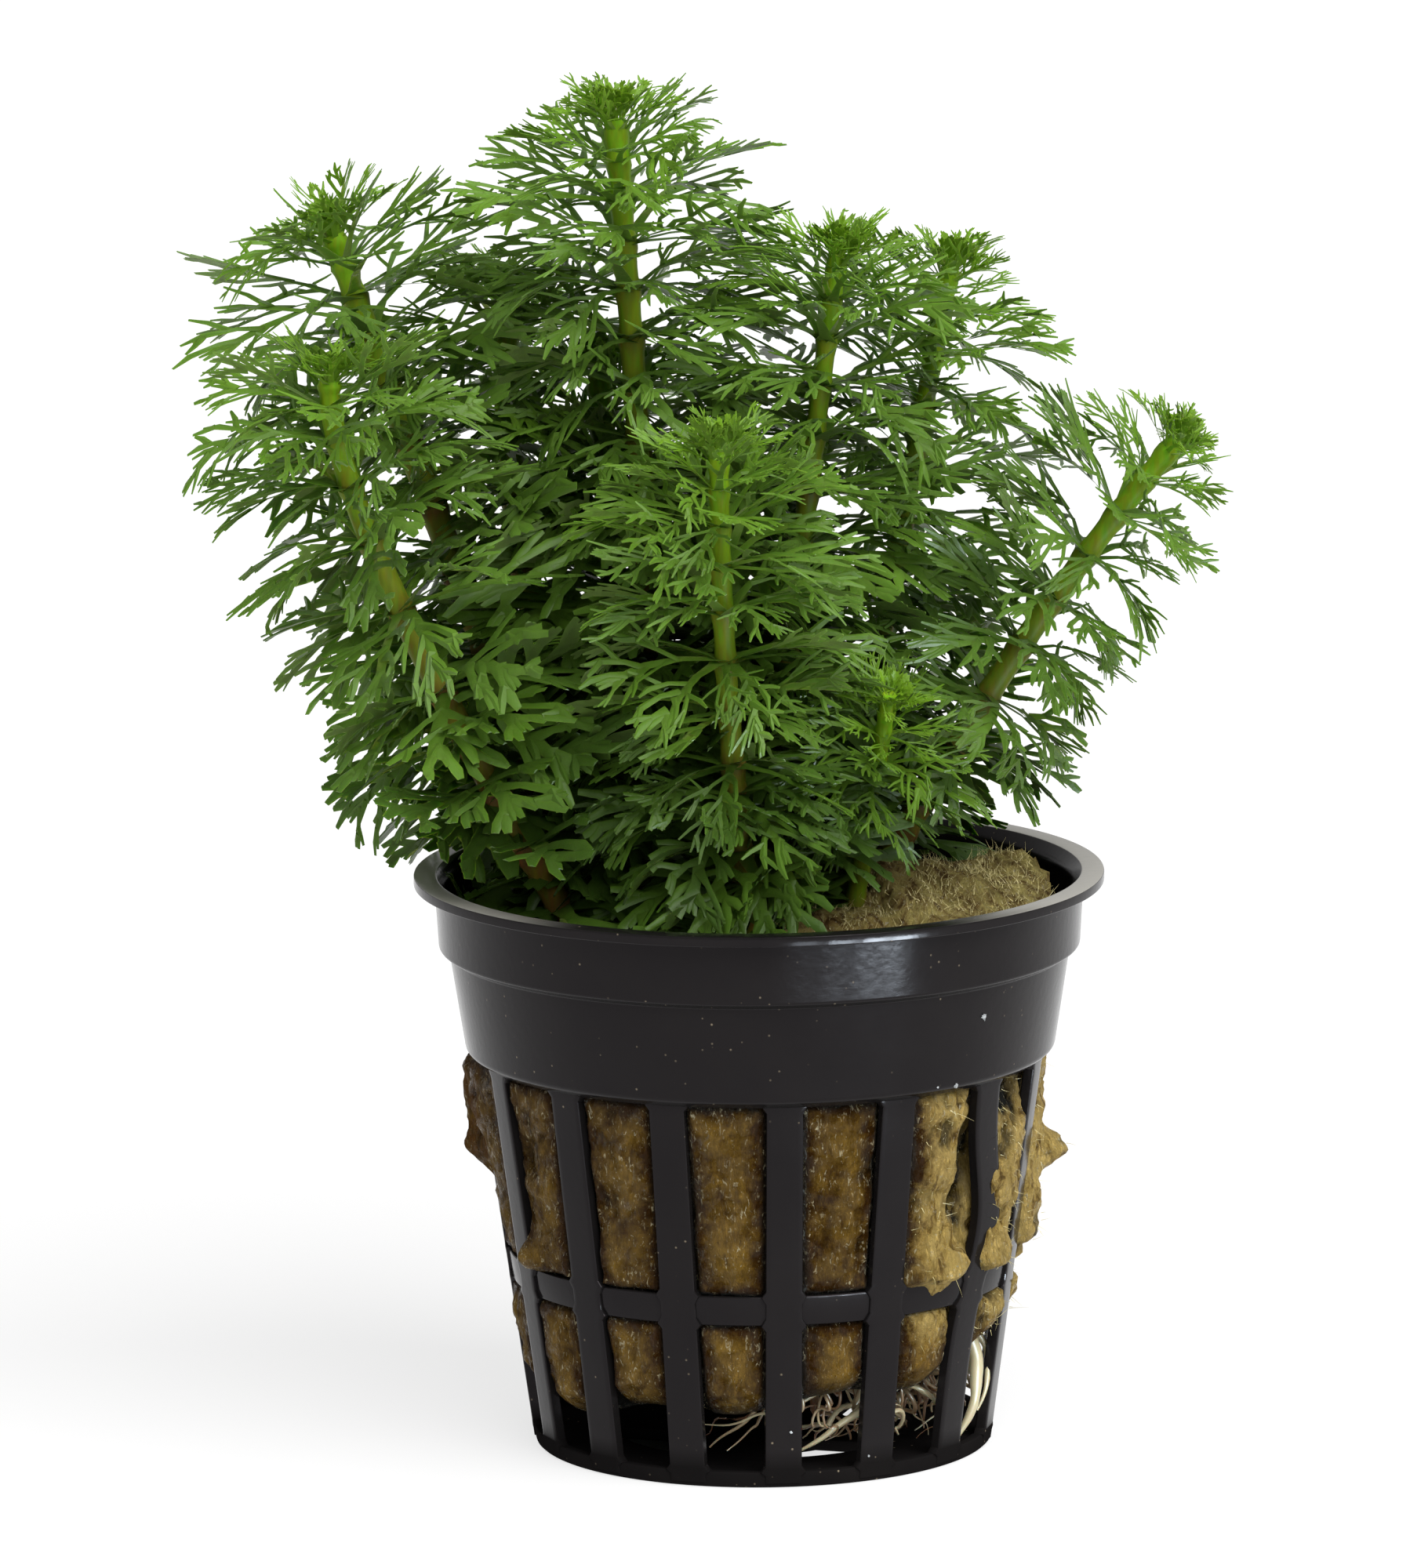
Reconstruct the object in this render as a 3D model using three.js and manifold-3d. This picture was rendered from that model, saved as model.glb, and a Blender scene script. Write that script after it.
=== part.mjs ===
// Potted ambulia: a bunch of feathery water-plant shoots whose feet are wrapped in
// mineral wool and pushed into a black net pot.
// Millimetres, +Z up, origin at the middle of the pot's underside.
// Azimuth turns about +Z from the front (-Y) towards the right (+X).
import * as THREE from 'three';
import { mergeVertices } from 'three/addons/utils/BufferGeometryUtils.js';
import Module from 'manifold-3d';

const wasm = await Module();
wasm.setup();

const DEGREE = Math.PI / 180;
const TOUCH_GAP = 0.35;

// The net pot, outside radii and heights from the underside up.
const POT_FOOT_RADIUS = 18.3;
const POT_LATTICE_TOP = 31.6;
const POT_LATTICE_TOP_RADIUS = 22.7;
const POT_SHOULDER_HEIGHT = 32.2;
const POT_SHOULDER_RADIUS = 23.5;
const POT_CONE_TOP = 39.4;
const POT_CONE_TOP_RADIUS = 24.7;
const POT_STEP_TOP = 40.4;
const POT_COLLAR_RADIUS = 25.55;
const POT_COLLAR_TOP_RADIUS = 25.85;
const FLANGE_UNDERSIDE = 45.4;
const POT_HEIGHT = 46.2;
const FLANGE_RADIUS = 27.5;
const FLANGE_LIP_RADIUS = 25.7;
const POT_WALL = 1.0;
const POT_FLOOR = 1.0;

// Its lattice: upright ribs, one band round the middle and four wide spokes in the floor.
const RIB_COUNT = 15;
const RIB_PITCH = 360 / RIB_COUNT;
const RIB_FIRST_AZIMUTH = 4.6;
const RIB_WIDTH = 2.9;
const FOOT_RING_HEIGHT = 1.3;
const BAND_BOTTOM = 13.5;
const BAND_TOP = 15.9;
const SPOKE_COUNT = 4;
const SPOKE_FIRST_AZIMUTH = -17;
const SPOKE_WIDTH = 8.5;
const HUB_RADIUS = 7;
const FLOOR_OPENING_RADIUS = 12;
const WINDOW_CUT_FROM = 12;
const WINDOW_CUT_TO = 30;
const FLOOR_CUT_BEYOND = 1;

// The mineral wool: a wet plug that swells out through the lattice, and a torn flap on top.
const WOOL_TOP = 40.5;
const WOOL_FOOT_LEFT = 5.6;
const WOOL_FOOT_RIGHT = 9.6;
const WOOL_SWELL_FRONT = 0.9;
const WOOL_SWELL_SIDE = 1.7;
const WOOL_HIDDEN_BEYOND_RIB = 0.5;
const WOOL_OPEN_COLUMNS = [0.4, 0.6];
const WOOL_ROWS = [
  { height: 10.8, swell: 1 },
  { height: BAND_BOTTOM - TOUCH_GAP, swell: 0 },
  { height: BAND_TOP + TOUCH_GAP, swell: 0 },
  { height: 18.5, swell: 0.9 },
  { height: 27.5, swell: 1.1 },
  { height: POT_LATTICE_TOP - TOUCH_GAP, swell: 0 },
  { height: WOOL_TOP, swell: 0 },
];
const FLAP_ENDS = [[3.5, -15.5], [22.2, -1.5]];
const FLAP_THICKNESS = 6.5;
const FLAP_TOP = 47.2;
const FLAP_BURIED = 1;
const FLAP_FRONT_DROP = 3.0;
const FLAP_CREST_SHARE = 0.45;
const FLAP_CREST_DROP = 0.7;
const FLAP_STATIONS = [
  { share: 0, rise: -3.6 },
  { share: 0.3, rise: -1.2 },
  { share: 0.62, rise: 0 },
  { share: 0.88, rise: -0.2 },
  { share: 1, rise: -1.8 },
];

// The shoots: round stalks with whorls of leaves, closer together towards the tip.
const STALK_RADIUS = 1.2;
const STALK_TIP_RADIUS = 0.8;
const SOCKET_CLEARANCE = 0.35;
const SOCKET_SIDES = 6;
const SOCKET_STEPS = 10;
const LEAVES_PER_WHORL = 6;
const LEAF_LENGTH = 12.6;
const NEW_LEAF_SHARE = 0.28;
const LEAF_FULL_GROWN_AT = 11;
const OLD_LEAF_GROWTH = 0.1;
const OLD_LEAF_FROM = 22;
const SHORTEST_LEAF = 3;
const LEAF_SHORTENING = 0.94;
const LEAF_HALF_WIDTH = 2.5;
const LEAF_WIDEST_AT = 0.64;
const LEAF_SLIMMEST = 0.1;
const LEAF_TIP_DROP = 0.08;
const OLD_LEAF_RISE = -8;
const NEW_LEAF_EXTRA_RISE = 68;
const RISE_FADES_OVER = 13;
const LEAF_ROOT_RADIUS = 1.9;
const LEAF_ROOT_GROWTH = 0.08;
const NODE_HALF_HEIGHT = 0.75;
const RINGS_BELOW_LEAVES = 2;
const TOP_WHORL_BELOW_TIP = 2.4;
const LONGEST_INTERNODE = 6.8;
const INTERNODE_FIRST = 1.9;
const INTERNODE_GROWS_OVER = 2.3;
const LOWEST_LEAF_HEIGHT = 47.7;
const LOWEST_WHORL_ABOVE = 1.2;
const LEAF_GAP = 0.5;

// Each shoot grows on one bow, from its foot in the wool past a bend point to its tip.
const SHOOTS = [
  { name: 'shoot_tall', foot: [-6.5, 3.5, 30], bend: [-8.5, 4.5, 70], tip: [-10.9, 5, 107] },
  { name: 'shoot_back_left', foot: [-9.5, 5.5, 30], bend: [-28, 8, 80], tip: [-33.6, 9, 96.8] },
  { name: 'shoot_left', foot: [-7.5, -4, 30], bend: [-34.5, -7.5, 76], tip: [-33.4, -7, 87.5] },
  { name: 'shoot_front', foot: [0.5, -6, 30], bend: [-3, -14, 60], tip: [-2.9, -14.5, 83.4] },
  { name: 'shoot_behind', foot: [-5, 8, 30], bend: [-12, 12, 60], tip: [-12.4, 15.5, 85] },
  { name: 'shoot_middle', foot: [-1.5, 2.5, 30], bend: [3, 3, 68], tip: [6.8, 3.5, 95.9] },
  { name: 'shoot_back_right', foot: [3.5, 6, 30], bend: [10.5, 10.5, 66], tip: [15.9, 12.5, 93.5] },
  { name: 'shoot_far_right', foot: [1.5, -0.5, 30], bend: [15, -0.5, 59], tip: [34, -1, 81.4] },
  { name: 'shoot_young', foot: [5.5, -5, 32], bend: [8.5, -4, 50], tip: [10.4, -12, 62.8] },
  { name: 'shoot_hidden', foot: [-9, 9.5, 30], bend: [-22, 14, 72], tip: [-19.5, 15, 91] },
];

// The roots that have grown out under the wool at the right, each a bow of three points.
const ROOT_START = [14.2, -6.6, 7.6];
const ROOT_TAPER = 0.6;
const ROOT_SIDES = 6;
const ROOT_STEPS = 4;
const ROOTS = [
  { radius: 0.75, bend: [18.6, -7.4, 6.5], end: [14.2, -9.4, 2.3] },
  { radius: 0.5, bend: [10.5, -12.5, 4.5], end: [2.5, -13.6, 2.5] },
  { radius: 0.45, bend: [17.0, 0.5, 6.0], end: [14.5, 6.5, 2.4] },
];

const potMaterial = new THREE.MeshStandardMaterial({ color: 0x2a282c, roughness: 0.38, metalness: 0 });
const woolMaterial = new THREE.MeshStandardMaterial({ color: 0x8f7846, roughness: 0.85, metalness: 0 });
const leafMaterial = new THREE.MeshStandardMaterial({ color: 0x3f7a2c, roughness: 0.5, metalness: 0 });
const rootMaterial = new THREE.MeshStandardMaterial({ color: 0xd9cfae, roughness: 0.55, metalness: 0 });

const potPart = new THREE.Group();

// Adds one named mesh to the part.
function addPiece(name, geometry, material) {
  const mesh = new THREE.Mesh(geometry, material);
  mesh.name = name;
  potPart.add(mesh);
}

// A closed geometry as a solid that can be joined and cut.
function solidOf(geometry) {
  const bare = geometry.clone();
  bare.deleteAttribute('normal');
  bare.deleteAttribute('uv');
  const merged = mergeVertices(bare, 1e-4);
  return new wasm.Manifold(new wasm.Mesh({
    numProp: 3,
    vertProperties: new Float32Array(merged.attributes.position.array),
    triVerts: new Uint32Array(merged.index.array),
  }));
}

// A solid back as a geometry.
function geometryOf(solid) {
  const mesh = solid.getMesh();
  const geometry = new THREE.BufferGeometry();
  geometry.setAttribute('position', new THREE.BufferAttribute(mesh.vertProperties, 3));
  geometry.setIndex(new THREE.BufferAttribute(mesh.triVerts, 1));
  return geometry;
}

// A geometry from a list of points and a list of triangles.
function facetedGeometry(points, triangles) {
  const geometry = new THREE.BufferGeometry();
  geometry.setAttribute('position', new THREE.Float32BufferAttribute(points.flat(), 3));
  geometry.setIndex(triangles.flat());
  return geometry;
}

// A flat outline raised from one height to another.
function prism(outline, bottom, top) {
  const shape = new THREE.Shape(outline.map(([x, y]) => new THREE.Vector2(x, y)));
  const geometry = new THREE.ExtrudeGeometry(shape, { depth: top - bottom, bevelEnabled: false });
  geometry.translate(0, 0, bottom);
  return geometry;
}

// The point at a distance from the axis, in an azimuth given in degrees.
function around(azimuth, radius) {
  return [radius * Math.sin(azimuth * DEGREE), -radius * Math.cos(azimuth * DEGREE)];
}

// The outside radius of the lattice at a height.
function latticeRadius(height) {
  const taper = (POT_LATTICE_TOP_RADIUS - POT_FOOT_RADIUS) / POT_LATTICE_TOP;
  return POT_FOOT_RADIUS + taper * height;
}

// The pot: a turned wall and floor, less the windows of the lattice and the floor.
function netPot() {
  const profile = [
    [0, 0],
    [POT_FOOT_RADIUS, 0],
    [POT_LATTICE_TOP_RADIUS, POT_LATTICE_TOP],
    [POT_SHOULDER_RADIUS, POT_SHOULDER_HEIGHT],
    [POT_CONE_TOP_RADIUS, POT_CONE_TOP],
    [POT_COLLAR_RADIUS, POT_STEP_TOP],
    [POT_COLLAR_TOP_RADIUS, FLANGE_UNDERSIDE],
    [FLANGE_RADIUS, FLANGE_UNDERSIDE],
    [FLANGE_RADIUS, POT_HEIGHT],
    [FLANGE_LIP_RADIUS, POT_HEIGHT],
    [POT_COLLAR_TOP_RADIUS - POT_WALL, FLANGE_UNDERSIDE],
    [POT_COLLAR_RADIUS - POT_WALL, POT_STEP_TOP],
    [POT_LATTICE_TOP_RADIUS - POT_WALL, POT_LATTICE_TOP],
    [latticeRadius(POT_FLOOR) - POT_WALL, POT_FLOOR],
    [0, POT_FLOOR],
  ].map(([radius, height]) => new THREE.Vector2(radius, height));
  const facetsPerRib = 3;
  const firstEdge = (RIB_FIRST_AZIMUTH - RIB_PITCH / facetsPerRib / 2) * DEGREE;
  const turned = new THREE.LatheGeometry(profile, facetsPerRib * RIB_COUNT, firstEdge);
  turned.rotateX(Math.PI / 2);
  let pot = solidOf(turned);

  // A window is a wedge between the flanks of two ribs.
  const halfPitch = RIB_PITCH / 2 * DEGREE;
  const halfWidth = (distance) => distance * Math.tan(halfPitch) - RIB_WIDTH / 2 / Math.cos(halfPitch);
  const wedge = [
    [-halfWidth(WINDOW_CUT_FROM), -WINDOW_CUT_FROM],
    [-halfWidth(WINDOW_CUT_TO), -WINDOW_CUT_TO],
    [halfWidth(WINDOW_CUT_TO), -WINDOW_CUT_TO],
    [halfWidth(WINDOW_CUT_FROM), -WINDOW_CUT_FROM],
  ];
  for (let index = 0; index < RIB_COUNT; index += 1) {
    const azimuth = RIB_FIRST_AZIMUTH + (index + 0.5) * RIB_PITCH;
    for (const [bottom, top] of [[FOOT_RING_HEIGHT, BAND_BOTTOM], [BAND_TOP, POT_LATTICE_TOP]]) {
      const window = prism(wedge, bottom, top);
      window.rotateZ(azimuth * DEGREE);
      pot = pot.subtract(solidOf(window));
    }
  }

  // A floor opening is a sector of a ring between two spokes.
  const spokePitch = 360 / SPOKE_COUNT;
  const sectorEdge = (radius) => spokePitch / 2 - Math.asin(SPOKE_WIDTH / 2 / radius) / DEGREE;
  const steps = [-1, -1 / 3, 1 / 3, 1];
  const sector = [
    ...steps.map((step) => around(step * sectorEdge(FLOOR_OPENING_RADIUS), FLOOR_OPENING_RADIUS)),
    ...steps.map((step) => around(-step * sectorEdge(HUB_RADIUS), HUB_RADIUS)),
  ];
  for (let index = 0; index < SPOKE_COUNT; index += 1) {
    const opening = prism(sector, -FLOOR_CUT_BEYOND, POT_FLOOR + FLOOR_CUT_BEYOND);
    opening.rotateZ((SPOKE_FIRST_AZIMUTH + (index + 0.5) * spokePitch) * DEGREE);
    pot = pot.subtract(solidOf(opening));
  }
  return geometryOf(pot);
}

// The point of a bow with a start, a bend point and an end, at a share of its way.
function bowPoint(start, bend, end, share) {
  const rest = 1 - share;
  return [0, 1, 2].map((axis) => (
    rest * rest * start[axis] + 2 * rest * share * bend[axis] + share * share * end[axis]
  ));
}

// The direction of that bow there, as a unit vector.
function bowDirection(start, bend, end, share) {
  const along = [0, 1, 2].map((axis) => (
    (1 - share) * (bend[axis] - start[axis]) + share * (end[axis] - bend[axis])
  ));
  const length = Math.hypot(...along);
  return along.map((value) => value / length);
}

// A point moved by a direction times a distance.
function moved(point, direction, distance) {
  return point.map((value, axis) => value + direction[axis] * distance);
}

// The two directions square to a bow: towards +X as nearly as can be, and the third.
function crossDirections(along) {
  const level = [1 - along[0] * along[0], -along[0] * along[1], -along[0] * along[2]];
  const size = Math.hypot(...level);
  const side = level.map((value) => value / size);
  const third = [
    along[1] * side[2] - along[2] * side[1],
    along[2] * side[0] - along[0] * side[2],
    along[0] * side[1] - along[1] * side[0],
  ];
  return [side, third];
}

// A round tube along a bow, closed at both ends, as wide as the width function says.
function bowTube(start, bend, end, radiusAt, sides, steps) {
  const points = [];
  const triangles = [];
  for (let step = 0; step <= steps; step += 1) {
    const share = step / steps;
    const centre = bowPoint(start, bend, end, share);
    const [side, third] = crossDirections(bowDirection(start, bend, end, share));
    for (let corner = 0; corner < sides; corner += 1) {
      const angle = corner / sides * 2 * Math.PI;
      const across = moved(centre, side, radiusAt(share) * Math.cos(angle));
      points.push(moved(across, third, radiusAt(share) * Math.sin(angle)));
    }
  }
  for (let step = 0; step < steps; step += 1) {
    for (let corner = 0; corner < sides; corner += 1) {
      const low = step * sides + corner;
      const lowNext = step * sides + (corner + 1) % sides;
      triangles.push([low, lowNext, lowNext + sides], [low, lowNext + sides, low + sides]);
    }
  }
  const last = steps * sides;
  for (let corner = 1; corner < sides - 1; corner += 1) {
    triangles.push([0, corner + 1, corner], [last, last + corner, last + corner + 1]);
  }
  return facetedGeometry(points, triangles);
}

// The plug: its radius follows the inside of the pot behind the ribs and swells between them.
function woolPlug() {
  const inside = (height) => latticeRadius(Math.min(height, POT_LATTICE_TOP)) - POT_WALL - TOUCH_GAP;
  const hidden = RIB_WIDTH / 2 + WOOL_HIDDEN_BEYOND_RIB;
  const columns = [];
  for (let index = 0; index < RIB_COUNT; index += 1) {
    const ribAzimuth = RIB_FIRST_AZIMUTH + index * RIB_PITCH;
    const flank = Math.asin(hidden / inside(BAND_TOP)) / DEGREE;
    columns.push({ azimuth: ribAzimuth - flank, open: false }, { azimuth: ribAzimuth + flank, open: false });
    for (const share of WOOL_OPEN_COLUMNS) {
      columns.push({ azimuth: ribAzimuth + share * RIB_PITCH, open: true });
    }
  }
  const footHeight = (azimuth) => {
    const share = 0.5 + 0.5 * Math.sin(azimuth * DEGREE);
    return WOOL_FOOT_LEFT + share * share * (WOOL_FOOT_RIGHT - WOOL_FOOT_LEFT);
  };
  const footRow = columns.map(({ azimuth }) => {
    const height = footHeight(azimuth);
    return [...around(azimuth, inside(height)), height];
  });
  const points = [...footRow];
  for (const row of WOOL_ROWS) {
    for (const column of columns) {
      const sideways = Math.sin(column.azimuth * DEGREE) ** 2;
      const swell = column.open ? row.swell * (WOOL_SWELL_FRONT + WOOL_SWELL_SIDE * sideways) : 0;
      points.push([...around(column.azimuth, inside(row.height) + swell), row.height]);
    }
  }
  const count = columns.length;
  const triangles = [];
  for (let row = 0; row < WOOL_ROWS.length; row += 1) {
    for (let column = 0; column < count; column += 1) {
      const low = row * count + column;
      const lowNext = row * count + (column + 1) % count;
      triangles.push([low, lowNext, lowNext + count], [low, lowNext + count, low + count]);
    }
  }
  const topStart = WOOL_ROWS.length * count;
  const footCentre = points.length;
  points.push([0, 0, (WOOL_FOOT_LEFT + WOOL_FOOT_RIGHT) / 2], [0, 0, WOOL_TOP]);
  for (let column = 0; column < count; column += 1) {
    const next = (column + 1) % count;
    triangles.push([footCentre, next, column]);
    triangles.push([footCentre + 1, topStart + column, topStart + next]);
  }
  return facetedGeometry(points, triangles);
}

// The flap: a torn slab of the same wool that leans back from the front right of the wall.
function woolFlap() {
  const [[startX, startY], [endX, endY]] = FLAP_ENDS;
  const length = Math.hypot(endX - startX, endY - startY);
  const across = [-(endY - startY) / length, (endX - startX) / length];
  const corner = (share, depth, height) => [
    startX + share * (endX - startX) + depth * across[0],
    startY + share * (endY - startY) + depth * across[1],
    height,
  ];
  const buried = WOOL_TOP - FLAP_BURIED;
  const points = [];
  for (const { share, rise } of FLAP_STATIONS) {
    const top = FLAP_TOP + rise;
    points.push(
      corner(share, 0, buried),
      corner(share, FLAP_THICKNESS, buried),
      corner(share, FLAP_THICKNESS, top),
      corner(share, FLAP_THICKNESS * FLAP_CREST_SHARE, top - FLAP_CREST_DROP),
      corner(share, 0, top - FLAP_FRONT_DROP),
    );
  }
  const ringSize = 5;
  const triangles = [];
  for (let station = 0; station < FLAP_STATIONS.length - 1; station += 1) {
    for (let index = 0; index < ringSize; index += 1) {
      const here = station * ringSize + index;
      const next = station * ringSize + (index + 1) % ringSize;
      triangles.push([here, next, next + ringSize], [here, next + ringSize, here + ringSize]);
    }
  }
  const last = (FLAP_STATIONS.length - 1) * ringSize;
  for (let index = 1; index < ringSize - 1; index += 1) {
    triangles.push([0, index + 1, index], [last, last + index, last + index + 1]);
  }
  return facetedGeometry(points, triangles);
}

// Plug and flap as one piece, with a socket round the foot of every stalk.
function rockWool() {
  let wool = solidOf(woolPlug()).add(solidOf(woolFlap()));
  for (const { foot, bend, tip } of SHOOTS) {
    const below = moved(foot, [0, 0, -1], TOUCH_GAP);
    const radiusAt = () => STALK_RADIUS + SOCKET_CLEARANCE;
    const socket = bowTube(below, bend, tip, radiusAt, SOCKET_SIDES, SOCKET_STEPS);
    wool = wool.subtract(solidOf(socket));
  }
  return geometryOf(wool);
}

// The middle lines of the shoots as close points, to tell whose space a leaf is in.
const LINE_STEPS = 40;
const shootLines = SHOOTS.map(({ foot, bend, tip }) => {
  const line = [];
  for (let step = 0; step <= LINE_STEPS; step += 1) {
    line.push(bowPoint(foot, bend, tip, step / LINE_STEPS));
  }
  return line;
});

// How far a point is from a middle line.
function distanceToLine(point, line) {
  return Math.min(...line.map((other) => Math.hypot(...point.map((value, axis) => value - other[axis]))));
}

// Whether a leaf point is above the rim and nearer to its own stalk than to any other.
function inOwnSpace(point, own) {
  if (point[2] < LOWEST_LEAF_HEIGHT) {
    return false;
  }
  const ownDistance = distanceToLine(point, shootLines[own]);
  return shootLines.every((line, other) => (
    other === own || distanceToLine(point, line) > ownDistance + LEAF_GAP
  ));
}

// Where the whorls sit, as distances below the tip: each gap is longer than the one above it.
function whorlDistances(stalkLength) {
  const distances = [];
  let distance = TOP_WHORL_BELOW_TIP;
  for (let index = 0; distance < stalkLength; index += 1) {
    distances.push(distance);
    distance += LONGEST_INTERNODE * (1 - Math.exp(-(index + INTERNODE_FIRST) / INTERNODE_GROWS_OVER));
  }
  return distances;
}

// How long the leaves of a whorl are, and how steeply they rise, by its distance below the tip.
function leafLength(distance) {
  const grown = Math.min(1, NEW_LEAF_SHARE + (1 - NEW_LEAF_SHARE) * distance / LEAF_FULL_GROWN_AT);
  return LEAF_LENGTH * grown + OLD_LEAF_GROWTH * Math.max(0, distance - OLD_LEAF_FROM);
}
function leafRise(distance) {
  return (OLD_LEAF_RISE + NEW_LEAF_EXTRA_RISE * Math.exp(-distance / RISE_FADES_OVER)) * DEGREE;
}

// One shoot: a stalk of rings, and at each whorl a star of pointed leaves grown from it.
function shootGeometry(own) {
  const { foot, bend, tip } = SHOOTS[own];
  const stalkLength = distanceToLine(tip, [foot]);
  const sides = LEAVES_PER_WHORL;
  const points = [];
  const triangles = [];
  const add = (point) => points.push(point) - 1;

  // A ring of the stalk, its corners between the leaves of the whorl.
  const stalkRing = (share, turn) => {
    const centre = bowPoint(foot, bend, tip, share);
    const [side, third] = crossDirections(bowDirection(foot, bend, tip, share));
    const radius = STALK_RADIUS + share * (STALK_TIP_RADIUS - STALK_RADIUS);
    const ring = [];
    for (let corner = 0; corner < sides; corner += 1) {
      const angle = (corner + 0.5) / sides * 2 * Math.PI + turn;
      const across = moved(centre, side, radius * Math.cos(angle));
      ring.push(add(moved(across, third, radius * Math.sin(angle))));
    }
    return ring;
  };
  const joinRings = (lower, upper) => {
    for (let corner = 0; corner < sides; corner += 1) {
      const next = (corner + 1) % sides;
      triangles.push([lower[corner], lower[next], upper[next]], [lower[corner], upper[next], upper[corner]]);
    }
  };

  // A leaf's points: its two widest corners and its tip, shortened until all are in free space.
  const leafPoints = (centre, along, outward, sideways, distance) => {
    const rise = leafRise(distance);
    const direction = outward.map((value, axis) => value * Math.cos(rise) + along[axis] * Math.sin(rise));
    let length = leafLength(distance);
    for (;;) {
      const halfWidth = LEAF_HALF_WIDTH * Math.min(1, length / LEAF_LENGTH + LEAF_SLIMMEST);
      const middle = moved(centre, direction, length * LEAF_WIDEST_AT);
      const corners = [
        moved(middle, sideways, -halfWidth),
        moved(moved(centre, direction, length), [0, 0, -1], LEAF_TIP_DROP * length),
        moved(middle, sideways, halfWidth),
      ];
      if (length < SHORTEST_LEAF || corners.every((corner) => inOwnSpace(corner, own))) {
        return corners;
      }
      length *= LEAF_SHORTENING;
    }
  };

  const whorls = whorlDistances(stalkLength)
    .map((distance) => ({ distance, share: 1 - distance / stalkLength }))
    .filter(({ share }) => bowPoint(foot, bend, tip, share)[2] > LOWEST_LEAF_HEIGHT + LOWEST_WHORL_ABOVE)
    .reverse();
  let ring = stalkRing(0, 0);
  for (let corner = 1; corner < sides - 1; corner += 1) {
    triangles.push([ring[0], ring[corner + 1], ring[corner]]);
  }
  for (let step = 1; step <= RINGS_BELOW_LEAVES; step += 1) {
    const next = stalkRing(whorls[0].share * step / (RINGS_BELOW_LEAVES + 1), 0);
    joinRings(ring, next);
    ring = next;
  }
  whorls.forEach(({ distance, share }, index) => {
    const turn = (index % 2) * Math.PI / sides;
    const halfShare = NODE_HALF_HEIGHT / stalkLength;
    const lower = stalkRing(share - halfShare, turn);
    joinRings(ring, lower);
    const centre = bowPoint(foot, bend, tip, share);
    const along = bowDirection(foot, bend, tip, share);
    const [side, third] = crossDirections(along);
    const sinuses = [];
    const leaves = [];
    for (let leaf = 0; leaf < sides; leaf += 1) {
      const angle = leaf / sides * 2 * Math.PI + turn;
      const outward = side.map((value, axis) => value * Math.cos(angle) + third[axis] * Math.sin(angle));
      const sideways = side.map((value, axis) => -value * Math.sin(angle) + third[axis] * Math.cos(angle));
      leaves.push(leafPoints(centre, along, outward, sideways, distance).map(add));
      const between = angle + Math.PI / sides;
      const rootOut = side.map((value, axis) => value * Math.cos(between) + third[axis] * Math.sin(between));
      const rootRadius = Math.min(LEAF_ROOT_RADIUS, STALK_RADIUS + LEAF_ROOT_GROWTH * distance);
      sinuses.push(add(moved(centre, rootOut, rootRadius)));
    }
    const upper = stalkRing(share + halfShare, turn);
    for (let leaf = 0; leaf < sides; leaf += 1) {
      const before = (leaf + sides - 1) % sides;
      const [right, point, left] = leaves[leaf];
      triangles.push(
        [upper[before], sinuses[before], right],
        [upper[before], right, point],
        [upper[before], point, upper[leaf]],
        [upper[leaf], point, left],
        [upper[leaf], left, sinuses[leaf]],
        [lower[before], right, sinuses[before]],
        [lower[before], point, right],
        [lower[before], lower[leaf], point],
        [lower[leaf], left, point],
        [lower[leaf], sinuses[leaf], left],
      );
    }
    ring = upper;
  });
  const top = add(tip);
  for (let corner = 0; corner < sides; corner += 1) {
    triangles.push([ring[corner], ring[(corner + 1) % sides], top]);
  }
  return facetedGeometry(points, triangles);
}

// The roots, joined where they leave the wool.
function rootCluster() {
  const solids = ROOTS.map(({ radius, bend, end }) => {
    const radiusAt = (share) => radius * (1 - ROOT_TAPER * share);
    return solidOf(bowTube(ROOT_START, bend, end, radiusAt, ROOT_SIDES, ROOT_STEPS));
  });
  return geometryOf(solids.reduce((joined, solid) => joined.add(solid)));
}

addPiece('net_pot', netPot(), potMaterial);
addPiece('rock_wool', rockWool(), woolMaterial);
addPiece('roots', rootCluster(), rootMaterial);
SHOOTS.forEach(({ name }, own) => addPiece(name, shootGeometry(own), leafMaterial));

export default potPart;
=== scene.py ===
"""A potted ambulia: feathery water-plant shoots, their feet in mineral wool, in a black net pot."""

import math

import bpy
import numpy as np
from mathutils import Matrix, Vector


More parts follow.
